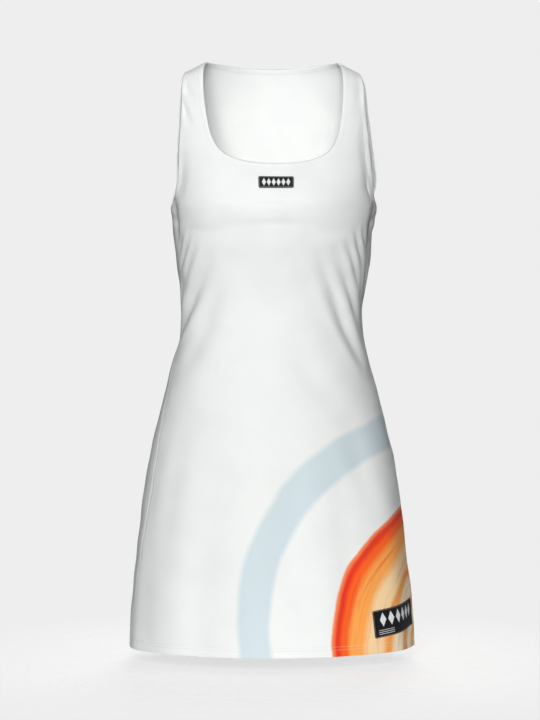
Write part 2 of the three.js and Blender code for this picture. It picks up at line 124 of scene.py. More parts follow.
# Where the side seams run, in degrees from the front's middle
SEAM_COLUMNS = ("at", "right", "left")
SIDE_SEAMS = (
    (-197, 90, 90),
    (-300, 87, 89),
    (-380, 82, 89),
    (-463, 74, 90),
    (-534, 68, 90),
    (-604, 68, 90),
    (-675, 71, 90),
    (-745, 75, 90),
    (-806, 82, 90),
)

# Finished edges: the front neck as (x, at), the wearer's left armhole as (turn, at)
FRONT_NECK = (
    (0, -140), (24, -139), (45, -135.5), (62, -130), (74, -122), (82.5, -111),
    (88.5, -96), (92.5, -77), (95.5, -55), (97, -32), (96, -8), (90, 20),
)
FRONT_ARMHOLE = (
    (90, -197), (78, -193), (68.5, -183), (62.5, -167), (58.5, -140),
    (55.5, -100), (53, -55), (53, -15), (52, 10), (51.8, 20),
)
BACK_ARMHOLE = (
    (90, -197), (98, -193), (104.5, -182), (110, -162), (114, -130),
    (118, -95), (122, -55), (124.5, -15), (127.6, 10), (127.9, 20),
)

# Troughs in the cloth, each from one place to another: turn, at, turn, at, how far it bows sideways, its
# half width, its depth, and how high the cloth stands along its edges, as a share of the depth.
MAIN_FOLDS = (
    (22, -254, 63, -424, -2, 11, 4.6, 0.35),
    (31.5, -250, 64.2, -350, 3, 8, 3.8, 0.4),
    (-34.8, -259, -97.8, -392, -11.7, 10, 4.6, 0.35),
    (-30, -279, -58.8, -435, 2.1, 15, 2.2, 0.2),
    (-62, -234, 60, -232, -6, 18, 1.4, 0.0),
    (158, -300, 112, -372, 8, 14, 4.5, 0.25),
    (203, -296, 250, -366, -8, 14, 4.5, 0.25),
    (150, -346, 209, -340, 7, 16, 3.5, 0.2),
)
FINE_FOLDS = (
    (40.2, -239, 60.4, -308, 2.1, 5, 1.9, 0.5),
    (46.9, -225, 60.5, -275, 2.3, 5, 2.0, 0.5),
    (53.4, -224.6, 61.5, -254, 0, 4, 1.4, 0.5),
    (66, -262, 82, -338, 3, 5, 1.4, 0.5),
    (-57.3, -225.7, -72.1, -263.5, 0, 4.5, 1.6, 0.5),
    (-51.2, -231.3, -73.2, -285.3, -2.3, 5, 1.9, 0.5),
    (-47, -241.5, -66, -296, -2.7, 5, 1.3, 0.5),
    (-70, -290, -88, -350, -3, 5, 1.3, 0.5),
    (-32.3, -223, 27.5, -222.5, 0.2, 5, 0.4, 0.3),
    (-15.5, -222.5, 18, -222.5, 0.6, 2.6, 0.7, 0.6),
    (-61.8, -229, -23, -233, 2.2, 8, 0.8, 0.3),
    (16.6, -233, 51.4, -229, 2.1, 8, 0.8, 0.3),
    (-32.4, -406, -31.6, -434, 0, 2.8, -1.1, 0.3),
    (8, -362, 34, -482, 6, 16, 1.8, 0.1),
    (-24, -520, -26, -800, 3, 14, 1.7, 0.4),
    (6, -500, 3, -720, -4, 14, 1.3, 0.4),
    (-44, -470, -52, -700, 4, 12, 1.2, 0.3),
    (38, -470, 44, -620, 3, 12, 1.5, 0.3),
    (-12, -330, -44, -470, -8, 15, 1.5, 0.1),
    (-15.8, -197.5, 10.8, -197.5, 0, 3.5, 0.5, 0.5),
    (-14, -208, 4, -207.5, 0, 4, 0.35, 0.5),
    (-50, -14, -41, -60, 3, 4.5, 1.4, 0.6),
    (-52, -32, -44, -92, 3, 4.5, 1.4, 0.6),
    (-47, -4, -38, -36, 2, 4, 0.8, 0.5),
    (50, -10, 44, -62, -3, 5, 0.9, 0.4),
    (53, -60, 47, -112, -3, 6, 0.9, 0.4),
    (50, -92, 60, -192, 4, 10, 2.4, 0.1),
    (-52, -112, -61, -194, -3, 9, 1.6, 0.1),
    (57, -150, 64, -178, 1, 3.2, 1.1, 0.5),
    (54, -158, 60, -184, 1, 2.8, 0.9, 0.5),
    (66, -176, 67, -262, 0, 11, 2.6, 0.1),
    (-68, -170, -71, -256, 0, 12, 3.4, 0.1),
    (82, -206, 60, -222, 2, 4.5, 1.4, 0.4),
    (86, -216, 66, -246, -2, 5, 1.2, 0.4),
    (-84, -207, -64, -224, -2, 4.5, 1.2, 0.4),
    (97, -208, 120, -230, -2, 5, 1.3, 0.4),
    (263, -208, 238, -226, 2, 5, 1.2, 0.4),
    (168, -318, 126, -392, 6, 9, 2.0, 0.3),
    (192, -322, 236, -404, -6, 9, 1.8, 0.3),
    (172, -372, 140, -452, 4, 13, 1.8, 0.1),
    (189, -378, 222, -470, -5, 13, 1.7, 0.1),
    (135, -60, 152, -118, 4, 12, 1.3, 0.2),
    (225, -64, 207, -126, -4, 12, 1.3, 0.2),
    (166, -240, 128, -282, 5, 11, 1.6, 0.2),
    (196, -236, 232, -276, -4, 10, 1.4, 0.2),
    (110, -296, 99, -350, 3, 6, 1.3, 0.4),
    (252, -300, 263, -352, -3, 6, 1.2, 0.4),
)
# Soft flutes of the skirt: how many round the figure, their phase, and their depth at the hem
FLUTES = ((6, 25, 2.2), (11, 140, 1.4))
FINE_FLUTES = ((17, 60, 0.5), (23, 200, 0.35))
FLUTES_START = -430.0

# Slow unevenness of worn cloth: waves round the figure, waves up it, phase and depth
UNEVENNESS = ((5, 9, 0.4, 0.35), (8, 5, 1.9, 0.3), (13, 14, 4.2, 0.22), (3, 17, 2.7, 0.25))

# The printed rings: radii in mm, softness of the edges, red, green and blue of 0 to 255, and cover
PRINT_RINGS = (
    (2, 22, 6, 214, 124, 30, 0.9),
    (30, 46, 6, 244, 176, 60, 0.92),
    (46, 62, 8, 253, 232, 184, 0.6),
    (62, 78, 6, 232, 146, 36, 0.92),
    (78, 104, 9, 253, 222, 156, 0.62),
    (104, 118, 6, 246, 158, 44, 0.95),
    (118, 148, 10, 253, 208, 128, 0.76),
    (148, 176, 10, 253, 162, 60, 0.97),
    (176, 187, 5, 255, 96, 6, 1.0),
    (188, 196, 4, 238, 44, 0, 1.0),
    (197, 202, 3, 255, 128, 50, 0.95),
    (282, 332, 12, 196, 215, 224, 0.7),
)
# How finer streaks tint them, from a noise's low values to its high ones
PRINT_STREAKS = (
    (0.3, (242, 158, 60)), (0.45, (255, 255, 255)), (0.55, (255, 255, 255)), (0.68, (255, 232, 160)),
)


def smoothstep(value: Array, low: float, high: float) -> Array:
    """A smooth rise from 0 at low to 1 at high."""
    t = np.clip((value - low) / (high - low), 0.0, 1.0)
    return t * t * (3.0 - 2.0 * t)


def bell(away: Array, height: float, half: float) -> Array:
    """A soft bump of that height and half width, at distances from its middle."""
    return height * np.exp(-((away / half) ** 2))


class Table:
    """Named columns over a first key column, read in between by a cubic."""

    def __init__(self, columns: tuple[str, ...], rows: tuple[tuple[float, ...], ...]) -> None:
        """Sorts the rows by key and works out each column's slopes.

        Args:
            columns: the columns' names, the key first.
            rows: the table's rows.
        """
        data = np.array(sorted(rows), dtype=float)
        self.key = data[:, 0]
        self.values = {name: data[:, i] for i, name in enumerate(columns) if i}
        last = len(self.key) - 1
        before = np.maximum(np.arange(last + 1) - 1, 0)
        after = np.minimum(np.arange(last + 1) + 1, last)
        run = self.key[after] - self.key[before]
        self.slopes = {name: (v[after] - v[before]) / run for name, v in self.values.items()}

    def read(self, name: str, where: Array) -> Array:
        """A column's value.

        Args:
            name: the column.
            where: values of the key.

        Returns:
            The column's values there.
        """
        i = np.clip(np.searchsorted(self.key, where) - 1, 0, len(self.key) - 2)
        span = self.key[i + 1] - self.key[i]
        t = (where - self.key[i]) / span
        value, slope = self.values[name], self.slopes[name]
        rise = 3 * t**2 - 2 * t**3
        return (
            value[i] + (value[i + 1] - value[i]) * rise
            + span * slope[i] * t * (1 - t) ** 2
            - span * slope[i + 1] * t**2 * (1 - t)
        )


def spline(points: tuple[tuple[float, float], ...], unit: float) -> Callable[[Array], Places]:
    """A smooth curve through points, read by even steps along it.

    Args:
        points: pairs of a sideways value and a height.
        unit: how many mm a sideways unit counts as.

    Returns:
        A function of 0 to 1 that gives sideways values and heights.
    """
    knots = np.array(points, dtype=float) * (unit, 1.0)
    steps = np.linalg.norm(np.diff(knots, axis=0), axis=1) ** 0.5
    time = np.concatenate(([0.0], np.cumsum(steps)))
    columns = Table(("t", "x", "y"), tuple((t, *p) for t, p in zip(time, knots)))
    fine = np.linspace(0.0, time[-1], SPLINE_STEPS)
    x, y = columns.read("x", fine), columns.read("y", fine)
    length = np.concatenate(([0.0], np.cumsum(np.hypot(np.diff(x), np.diff(y)))))
    length /= length[-1]
    return lambda t: (np.interp(t, length, x) / unit, np.interp(t, length, y))


def on_ring(turn: Array, square: Array) -> Places:
    """Fractions of the half breadth and of the depth at an angle.

    Args:
        turn: angles in degrees.
        square: how square the ring is, 2 for an ellipse.

    Returns:
        The fraction across and the fraction forward.
    """
    s, c = np.sin(np.radians(turn)), np.cos(np.radians(turn))
    reach = (np.abs(s) ** square + np.abs(c) ** square) ** (-1.0 / square)
    return reach * s, reach * c


@dataclass
class DressForm:
    """The smooth hollow form that the dress keeps, and the folds in it."""

    nape_rise: float = 17.0
    shoulder_slope: float = 0.55
    shoulder_start: float = 84.0
    shoulder_rounding: float = 8.0
    shoulder_fade_low: float = -150.0
    swing_full: float = 0.4
    nape_half: float = 100.0
    nape_softness: float = 0.15
    uneven_from: tuple[float, float] = (20.0, 160.0)
    sections: Table = field(default_factory=lambda: Table(SECTION_COLUMNS, SECTIONS))
    seams: Table = field(default_factory=lambda: Table(SEAM_COLUMNS, SIDE_SEAMS))

    def plain(self, turn: Array, at: Array) -> Array:
        """The form before folds.

        Args:
            turn, at: the places.

        Returns:
            Points in mm, the last axis being X, Y, Z.
        """
        row = {name: self.sections.read(name, at) for name in SECTION_COLUMNS[1:]}
        across, forward = on_ring(turn, row["square"])
        x = across * np.where(across < 0, row["right"], row["left"])
        depth = forward * np.where(forward > 0, row["front"], row["back"])
        within = 1.0 - (x / self.nape_half) ** 2
        nape = row["nape"] * (within + np.hypot(within, self.nape_softness)) / 2
        swing = row["swing"] * smoothstep(-forward, 0.0, self.swing_full)
        over = np.maximum(0.0, at - (RIDGE - CROWN_SPAN)) / CROWN_SPAN
        height = np.minimum(at, RIDGE - CROWN_SPAN) + CROWN_SPAN * (over - over**2 / 2)
        past = np.abs(x) - self.shoulder_start
        rise = self.nape_rise - self.shoulder_slope * (past + np.hypot(past, self.shoulder_rounding)) / 2
        z = height + rise * smoothstep(at, self.shoulder_fade_low, RIDGE)
        return np.stack((x + swing, row["side"] + nape - depth, z), axis=-1)

    def directions(self, shape: Callable[[Array, Array], Array], turn: Array, at: Array) -> tuple:
        """How a shape runs at a place.

        Args:
            shape: a function that gives points.
            turn, at: the places.

        Returns:
            Travel for a degree of turn, travel for a mm of height, and the outward unit normal.
        """
        high = np.minimum(at + NUDGE_AT, RIDGE)
        low = at - NUDGE_AT
        around = (shape(turn + NUDGE_TURN, at) - shape(turn - NUDGE_TURN, at)) / (2 * NUDGE_TURN)
        up = (shape(turn, high) - shape(turn, low)) / (high - low)[..., None]
        normal = np.cross(around, up)
        return around, up, normal / np.linalg.norm(normal, axis=-1, keepdims=True)

    @staticmethod
    def trough(fold: tuple[float, ...], turn: Array, at: Array) -> Array:
        """Height of the cloth in one fold, negative in its trough.

        Args:
            fold: a row of a folds' table.
            turn, at: the places.

        Returns:
            Heights in mm.
        """
        turn_0, at_0, turn_1, at_1, bow, width, depth, bank = fold
        along_x, along_y = (turn_1 - turn_0) * MM_PER_DEGREE, at_1 - at_0
        length = math.hypot(along_x, along_y)
        dx = (np.mod(turn - turn_0 + 180.0, 360.0) - 180.0) * MM_PER_DEGREE
        dy = at - at_0
        t = np.clip((dx * along_x + dy * along_y) / length**2, 0.0, 1.0)
        aside = (dx * along_y - dy * along_x) / length - bow * 4 * t * (1 - t)
        valley = np.exp(-((aside / width) ** 2))
        edges = np.exp(-((np.abs(aside) / width - BANK_PLACE) ** 2) * BANK_SHARPNESS)
        return depth * np.sin(np.pi * t) * (bank * edges - valley)

    def relief(self, turn: Array, at: Array) -> Array:
        """How far the folds, flutes and seams move the cloth out.

        Args:
            turn, at: the places.

        Returns:
            Distances in mm along the normal.
        """
        out = sum(self.trough(fold, turn, at) for fold in MAIN_FOLDS + FINE_FOLDS)
        grown = smoothstep(-at, -FLUTES_START, -HEM)
        flutes = sum(d * np.cos(np.radians(n * turn + phase)) for n, phase, d in FLUTES + FINE_FLUTES)
        v = at / HEM * 2 * np.pi
        waves = sum(d * np.sin(np.radians(a * turn) + phase) * np.sin(b * v + 2 * phase)
                    for a, b, phase, d in UNEVENNESS)
        return out + grown * flutes + smoothstep(-at, *self.uneven_from) * waves

    def cloth(self, turn: Array, at: Array) -> Array:
        """The cloth's middle surface, folds included, in mm."""
        normal = self.directions(self.plain, turn, at)[2]
        return self.plain(turn, at) + normal * self.relief(turn, at)[..., None]

    def skin(self, turn: Array, at: Array) -> tuple[Array, Array]:
        """Points and outward normals of the cloth's middle surface."""
        return self.cloth(turn, at), self.directions(self.cloth, turn, at)[2]

    def off_cloth(self, turn: Array, at: Array, off: float) -> Array:
        """Points in mm that stand off the cloth's middle."""
        middle, normal = self.skin(turn, at)
        return middle + normal * off

    def slide(self, turn: Array, at: Array, way: Array, distance: Array) -> Places:
        """The place reached by going a distance over the cloth.

        Args:
            turn, at: the places.
            way: unit directions in space.
            distance: how far, in mm.

        Returns:
            The places reached.
        """
        for _ in range(SLIDE_STEPS):
            around, up = self.directions(self.plain, turn, at)[:2]
            rr, ru, uu = ((a * b).sum(-1) for a, b in ((around, around), (around, up), (up, up)))
            r, u = (way * around).sum(-1), (way * up).sum(-1)
            scale = distance / SLIDE_STEPS / (rr * uu - ru**2)
            turn = turn + scale * (r * uu - u * ru)
            at = np.minimum(RIDGE, at + scale * (u * rr - r * ru))
        return turn, at

    def beside(self, edge: Edge, t: Array, distance: Array, to_left: bool) -> Places:
        """Places a distance beside a travelled edge.

        Args:
            edge: a function of 0 to 1 that gives places.
            t: where along it.
            distance: how far over the cloth, in mm.
            to_left: whether to the left of the travel, seen from outside.

        Returns:
            The places.
        """
        t, distance = np.broadcast_arrays(np.asarray(t, float), np.asarray(distance, float))
        before = self.plain(*edge(np.maximum(0.0, t - NUDGE_ALONG)))
        after = self.plain(*edge(np.minimum(1.0, t + NUDGE_ALONG)))
        turn, at = edge(t)
        normal = self.directions(self.plain, turn, at)[2]
        aside = np.cross(normal, after - before)
        aside /= np.linalg.norm(aside, axis=-1, keepdims=True)
        return self.slide(turn, at, aside * (1 if to_left else -1), distance)

    def turn_at(self, x: Array, at: Array, behind: bool) -> Array:
        """The angle at which a ring reaches a sideways distance.

        Args:
            x: distances from the middle, in mm.
            at: heights in mm.
            behind: whether on the back.

        Returns:
            Angles in degrees.
        """
        half = np.where(x < 0, self.sections.read("right", at), self.sections.read("left", at))
        square = self.sections.read("square", at)
        across = np.abs(x) / half
        forward = (1.0 - across**square) ** (1.0 / square)
        turn = np.degrees(np.arctan2(across, forward)) * np.sign(x)
        return np.mod(180.0 - turn, 360.0) if behind else turn


@dataclass(frozen=True)
class CutEdge:
    """A finished edge: its places from 0 to 1 along it, and whether its cloth lies to the left."""

    form: DressForm
    places: Edge
    to_left: bool

    def inside(self, t: Array, distance: Array | float) -> Places:
        """Places on the cloth a distance in mm from the edge."""
        return self.form.beside(self.places, t, distance, self.to_left)


@dataclass
class CutLines:
    """The finished edges of the neck and armholes."""

    form: DressForm
    neck_at_ridge: float = 90.0
    back_neck_low: float = -1.5
    back_neck_square: float = 2.5

    def __post_init__(self) -> None:
        """Makes the curves that the edges follow."""
        self.neck_curve = spline(FRONT_NECK, 1.0)
        self.armhole_curves = [spline(points, MM_PER_DEGREE) for points in (FRONT_ARMHOLE, BACK_ARMHOLE)]

    def front_neck(self, side: Side) -> CutEdge:
        """The front neck's edge from its middle up to one shoulder.

        Args:
            side: the wearer's side.

        Returns:
            The edge.
        """
        def places(t: Array) -> Places:
            """Places along it."""
            x, at = self.neck_curve(t)
            return self.form.turn_at(side.value * x, at, False), at
        return CutEdge(self.form, places, side is Side.RIGHT)

    def back_neck(self) -> CutEdge:
        """The back neck's edge from the wearer's left shoulder to the right one.

        Returns:
            The edge.
        """
        def places(t: Array) -> Places:
            """Places along it.

            Args:
                t: how far along it.

            Returns:
                The places.
            """
            across, forward = on_ring(90.0 - 180.0 * t, self.back_neck_square)
            at = RIDGE + (self.back_neck_low - RIDGE) * forward
            return self.form.turn_at(across * self.neck_at_ridge, at, True), at
        return CutEdge(self.form, places, False)

    def armhole(self, side: Side, behind: bool) -> CutEdge:
        """The front or back half of an armhole's edge, from the underarm up to the shoulder.

        Args:
            side: the wearer's side.
            behind: whether on the back.

        Returns:
            The edge.
        """
        def places(t: Array) -> Places:
            """Places along it."""
            turn, at = self.armhole_curves[behind](t)
            return (turn if side is Side.LEFT else 360.0 * behind - turn), at
        return CutEdge(self.form, places, (side is Side.LEFT) != behind)

    def all(self) -> list[CutEdge]:
        """Every finished edge."""
        necks = [self.front_neck(Side.LEFT), self.front_neck(Side.RIGHT), self.back_neck()]
        return necks + [self.armhole(side, behind) for side in Side for behind in (False, True)]


def graded(count: int, near: tuple[float, ...]) -> Array:
    """Steps from 0 to 1, close together at both ends.

    Args:
        count: how many even steps between the close ones.
        near: the close steps from an end, rising from 0.

    Returns:
        The steps.
    """
    start = np.array(near)
    middle = np.linspace(near[-1], 1.0 - near[-1], count + 1)[1:-1]
    return np.concatenate((start, middle, 1.0 - start[::-1]))


def arc(points: Array, axis: int) -> Array:
    """Distance travelled along one axis of a grid of points, absent ones counting nothing.

    Args:
        points: the grid.
        axis: the axis.

    Returns:
        The distances.
    """
    step = np.linalg.norm(np.diff(points, axis=axis), axis=-1)
    start = np.zeros_like(np.take(step, [0], axis=axis))
    return np.concatenate((start, np.cumsum(np.nan_to_num(step), axis=axis)), axis=axis)


def link(name: str, data: bpy.types.ID) -> Piece:
    """A new object of that data, in the scene.

    Args:
        name: its name.
        data: what it shows.

    Returns:
        The object.
    """
    made = bpy.data.objects.new(name, data)
    bpy.context.scene.collection.objects.link(made)
    return made


def grid_quads(index: Array) -> Array:
    """Quads of vertex numbers between the neighbours in a grid of them."""
    return np.stack((index[:-1, :-1], index[1:, :-1], index[1:, 1:], index[:-1, 1:]), axis=-1).reshape(-1, 4)


def mesh_object(name: str, points: Array, faces: list[list[int]]) -> Piece:
    """A smooth mesh object at the origin.

    Args:
        name: the object's name.
        points: vertices in metres.
        faces: lists of vertex numbers.

    Returns:
        The object, linked to the scene.
    """
    mesh = bpy.data.meshes.new(name)
    mesh.from_pydata(points.tolist(), [], faces)
    mesh.polygons.foreach_set("use_smooth", [True] * len(mesh.polygons))
    mesh.update()
    return link(name, mesh)


def write_uv(mesh: bpy.types.Mesh, uv: Array) -> None:
    """Gives a mesh a UV map, from a pair for each vertex.

    Args:
        mesh: the mesh.
        uv: a pair for each vertex.
    """
    corners = np.empty(len(mesh.loops), dtype=np.int32)
    mesh.loops.foreach_get("vertex_index", corners)
    mesh.uv_layers.new(name="cloth_mm").data.foreach_set("uv", uv[corners].ravel())


def shell(name: str, outer: Array, inner: Array, uv: Array, numbers: dict[str, Array]) -> Piece:
    """A closed wall of cloth between two grids of points. Absent places are not a number.

    Args:
        name: the object's name.
        outer, inner: the two grids, in mm.
        uv: a pair for each place.
        numbers: for each name, a number for each outer place; inner ones get NO_PRINT.

    Returns:
        The object.
    """
    here = ~np.isnan(outer[..., 0])
    layer = here.sum()
    index = np.full(here.shape, -1)
    index[here] = np.arange(layer)
    quads = grid_quads(index)
    quads = quads[(quads >= 0).all(axis=1)]
    edges = np.concatenate([quads[:, [i, (i + 1) % 4]] for i in range(4)])
    _, first, uses = np.unique(np.sort(edges, axis=1), axis=0, return_index=True, return_counts=True)
    rim = edges[first[uses == 1]]
    sides = np.stack((rim[:, 0], rim[:, 0] + layer, rim[:, 1] + layer, rim[:, 1]), axis=-1)
    faces = np.concatenate((quads, quads[:, ::-1] + layer, sides))
    piece = mesh_object(name, np.concatenate((outer[here], inner[here])) * MM, faces.tolist())
    piece.data.set_sharp_from_angle(angle=SHARP_EDGE)
    write_uv(piece.data, np.concatenate((uv[here], uv[here])))
    for label, values in numbers.items():
        held = piece.data.attributes.new(label, "FLOAT", "POINT").data
        held.foreach_set("value", np.concatenate((values[here], np.full(layer, NO_PRINT))))
    return piece


def tube(name: str, sections: Array, uv: Array) -> Piece:
    """A closed ring of closed sections.

    Args:
        name: the object's name.
        sections: points in mm, by step round the ring and by step round the section.
        uv: a pair for each point.

    Returns:
        The object.
    """
    rings, around = sections.shape[:2]
    index = np.arange(rings * around).reshape(rings, around)
    quads = grid_quads(np.pad(index, ((0, 1), (0, 1)), mode="wrap"))
    piece = mesh_object(name, sections.reshape(-1, 3) * MM, quads.tolist())
    write_uv(piece.data, uv.reshape(-1, 2))
    return piece


class Nodes:
    """A short hand for building one node tree."""

    def __init__(self, tree: bpy.types.NodeTree) -> None:
        """Starts with an empty tree."""
        self.tree = tree
        tree.nodes.clear()

    def add(self, kind: str, inputs: dict | None = None, **settings: object) -> bpy.types.Node:
        """Adds a node.

        Args:
            kind: the node's type.
            inputs: values or sockets for its inputs, by name or number.
            settings: the node's own properties.

        Returns:
            The node.
        """
        node = self.tree.nodes.new(kind)
        for key, value in settings.items():
            setattr(node, key, value)
        for key, value in (inputs or {}).items():
            if isinstance(value, Socket):
                self.tree.links.new(value, node.inputs[key])
            else:
                node.inputs[key].default_value = value
        return node

    def math(self, operation: str, *values: Socket | float) -> Socket:
        """The result of a sum on numbers or sockets."""
        return self.add("ShaderNodeMath", dict(enumerate(values)), operation=operation).outputs[0]

    def scaled(self, value: Socket, factor: float, start: float) -> Socket:
        """A value times a factor, plus a start."""
        return self.math("MULTIPLY_ADD", value, factor, start)

    def noise(self, place: Socket, scale: float, detail: float) -> Socket:
        """The value of a noise."""
        inputs = {"Vector": place, "Scale": scale, "Detail": detail}
        return self.add("ShaderNodeTexNoise", inputs).outputs["Fac"]

    def number(self, name: str) -> Socket:
        """A number that the mesh holds at its vertices."""
        return self.add("ShaderNodeAttribute", attribute_name=name).outputs["Fac"]

    def place(self) -> Socket:
        """The shaded point's place, in metres."""
        return self.add("ShaderNodeTexCoord").outputs["Object"]

    def on_cloth(self) -> Socket:
        """The shaded point's place on the flat cloth, in mm."""
        return self.add("ShaderNodeUVMap", uv_map="cloth_mm").outputs["UV"]

    def split(self, vector: Socket) -> tuple[Socket, Socket]:
        """The first two numbers of a vector."""
        parts = self.add("ShaderNodeSeparateXYZ", {"Vector": vector})
        return parts.outputs["X"], parts.outputs["Y"]

    def bump(self, height: Socket, strength: float, distance: float) -> Socket:
        """A normal that follows a height."""
        inputs = {"Height": height, "Strength": strength, "Distance": distance}
        return self.add("ShaderNodeBump", inputs).outputs["Normal"]

    def mix(self, share: Socket, first: Socket | Colour, second: Socket | Colour,
            blend: str = "MIX") -> Socket:
        """Two colours mixed by a share of the second."""
        inputs = {0: share, 6: first, 7: second}
        return self.add("ShaderNodeMix", inputs, data_type="RGBA", blend_type=blend).outputs[2]

    def ramp(self, factor: Socket, stops: Stops) -> bpy.types.Node:
        """A colour ramp.

        Args:
            factor: the socket that it reads.
            stops: places from 0 to 1 with their colours.

        Returns:
            The node.
        """
        node = self.add("ShaderNodeValToRGB", {"Fac": factor})
        elements = node.color_ramp.elements
        while len(elements) < len(stops):
            elements.new(1.0)
        for element, (place, colour) in zip(elements, stops):
            element.position = place
            element.color = colour
        return node


def linear(red: int, green: int, blue: int, alpha: float = 1.0) -> Colour:
    """A colour of 0 to 255 screen values as linear light."""
    values = (c / 255 for c in (red, green, blue))
    return (*(v / 12.92 if v <= 0.04045 else ((v + 0.055) / 1.055) ** 2.4 for v in values), alpha)


def start_material(name: str) -> tuple[Material, Nodes]:
    """A new material and its empty tree.

    Args:
        name: its name.

    Returns:
        The material and the tree.
    """
    material = bpy.data.materials.new(name)
    material.use_nodes = True
    return material, Nodes(material.node_tree)


@dataclass(frozen=True)
class PrintRing:
    """One ring of the printed arcs: its radii in mm, how soft its edges are, and its colour."""

    start: float
    stop: float
    soft: float
    colour: Colour


@dataclass(frozen=True)
class SunriseArcs:
    """Plain soft rings about a point on the hem, in pale blue, orange and gold."""

    reach: float = 360.0
    joined: float = 3.0
    softness: float = 0.6
    wobble: float = 5.0
    wobble_scale: float = 14.0
    grain: float = 0.5
    grain_scale: float = 260.0
    streak_mm: float = 6.0
    streak_depth: float = 0.8
    streak_turn: float = 1.3
    streak_inset: float = 3.0
    rings: tuple[PrintRing, ...] = tuple(PrintRing(*row[:3], linear(*row[3:])) for row in PRINT_RINGS)
    streaks: Stops = tuple((place, linear(*colour)) for place, colour in PRINT_STREAKS)

    def stops(self) -> Stops:
        """The rings as stops of a colour ramp, whose alpha is how much ink lies on the cloth.

        Returns:
            Places from 0 to 1 with their colours.
        """
        found = []
        ends = [-math.inf] + [ring.stop for ring in self.rings]
        starts = [ring.start for ring in self.rings[1:]] + [math.inf]
        for ring, last_end, next_start in zip(self.rings, ends, starts):
            bare = (*ring.colour[:3], 0.0)
            if ring.start - last_end >= self.joined:
                found.append((ring.start / self.reach, bare))
            found.append(((ring.start + ring.soft * self.softness) / self.reach, ring.colour))
            found.append(((ring.stop - ring.soft * self.softness) / self.reach, ring.colour))
            if next_start - ring.stop >= self.joined:
                found.append((ring.stop / self.reach, bare))
        return tuple(found)

    def ink(self, nodes: Nodes) -> tuple[Socket, Socket]:
        """The ink's colour and how much of it covers the cloth.

        Args:
            nodes: the tree to build in.

        Returns:
            The colour and the cover.
        """
        place = nodes.place()
        bend = nodes.scaled(nodes.noise(place, self.wobble_scale, 3.0), 2 * self.wobble, -self.wobble)
        speckle = nodes.scaled(nodes.noise(place, self.grain_scale, 2.0), 2 * self.grain, -self.grain)
        moved = nodes.math("ADD", nodes.math("ADD", nodes.number("arc_mm"), bend), speckle)
        ink = nodes.ramp(nodes.math("DIVIDE", moved, self.reach), self.stops())
        return self.streaked(nodes, moved, ink.outputs["Color"]), ink.outputs["Alpha"]

    def streaked(self, nodes: Nodes, moved: Socket, ink: Socket) -> Socket:
        """The inks' colour with finer streaks of light and dark ink along the rings.

        Args:
            nodes: the tree to build in.
            moved: the uneven radius.
            ink: the rings' colour.

        Returns:
            The colour.
        """
        across = nodes.math("DIVIDE", moved, self.streak_mm)
        along = nodes.math("MULTIPLY", nodes.number("arc_turn"), self.streak_turn)
        place = nodes.add("ShaderNodeCombineXYZ", {"X": across, "Y": along}).outputs[0]
        light = nodes.ramp(nodes.noise(place, 1.0, 3.0), self.streaks).outputs["Color"]
        inner = nodes.math("LESS_THAN", moved, self.rings[-2].stop - self.streak_inset)
        return nodes.mix(nodes.math("MULTIPLY", inner, self.streak_depth), ink, light, "MULTIPLY")


@dataclass(frozen=True)
class Finish:
    """How a piece's surface looks."""

    name: str

    def surface(self, nodes: Nodes) -> dict[str, object]:
        """The inputs of the surface's shader, built in a tree."""
        raise NotImplementedError

    def material(self) -> Material:
        """The finish as a material.

        Returns:
            The material.
        """
        material, nodes = start_material(self.name)
        skin = nodes.add("ShaderNodeBsdfPrincipled", self.surface(nodes))
        nodes.add("ShaderNodeOutputMaterial", {"Surface": skin.outputs["BSDF"]})
        return material


@dataclass(frozen=True)
class Jersey(Finish):
    """A smooth white stretch knit, with or without the printed arcs."""

    printed: SunriseArcs | None = None
    white: Colour = linear(243, 244, 243)
    shade: Colour = linear(239, 241, 240)
    mottle_scale: float = 26.0
    fibre_scale: float = 900.0
    fibre_share: float = 0.3
    roughness: float = 0.57
    wale: float = 0.9
    course: float = 0.75
    knit_depth: float = 0.00012
    loop_height: float = 2.0
    column_height: float = 1.4
    fibre_height: float = 0.6

    def surface(self, nodes: Nodes) -> dict[str, object]:
        """The inputs of the surface's shader, built in a tree.

        Args:
            nodes: the tree to build in.

        Returns:
            The inputs by name.
        """
        place = nodes.place()
        mottle = nodes.noise(place, self.mottle_scale, 4.0)
        fibre = nodes.noise(place, self.fibre_scale, 2.0)
        tone = nodes.math("ADD", nodes.math("MULTIPLY", mottle, 1 - self.fibre_share),
                          nodes.math("MULTIPLY", fibre, self.fibre_share))
        colour = nodes.ramp(tone, ((0.35, self.shade), (0.6, self.white))).outputs["Color"]
        if self.printed:
            ink, cover = self.printed.ink(nodes)
            colour = nodes.mix(cover, colour, ink)
        return {
            "Base Color": colour, "Roughness": nodes.scaled(mottle, 0.1, self.roughness),
            "Normal": nodes.bump(self.knit(nodes, fibre), 0.45, self.knit_depth),
            "Specular IOR Level": 0.3, "Sheen Weight": 0.06, "Sheen Roughness": 0.8,
        }

    def knit(self, nodes: Nodes, fibre: Socket) -> Socket:
        """Height of the knit's little loops, in columns of Vs.

        Args:
            nodes: the tree to build in.
            fibre: a fine noise that roughens the loops.

        Returns:
            The height.
        """
        x, y = nodes.split(nodes.on_cloth())
        leg = nodes.math("PINGPONG", nodes.math("DIVIDE", x, self.wale), 0.5)
        along = nodes.math("ADD", nodes.math("DIVIDE", y, self.course), leg)
        loop = nodes.math("MULTIPLY", nodes.math("PINGPONG", along, 0.5), self.loop_height)
        column = nodes.math("MULTIPLY", leg, self.column_height)
        rough = nodes.math("MULTIPLY", fibre, self.fibre_height)
        return nodes.math("ADD", nodes.math("ADD", loop, column), rough)


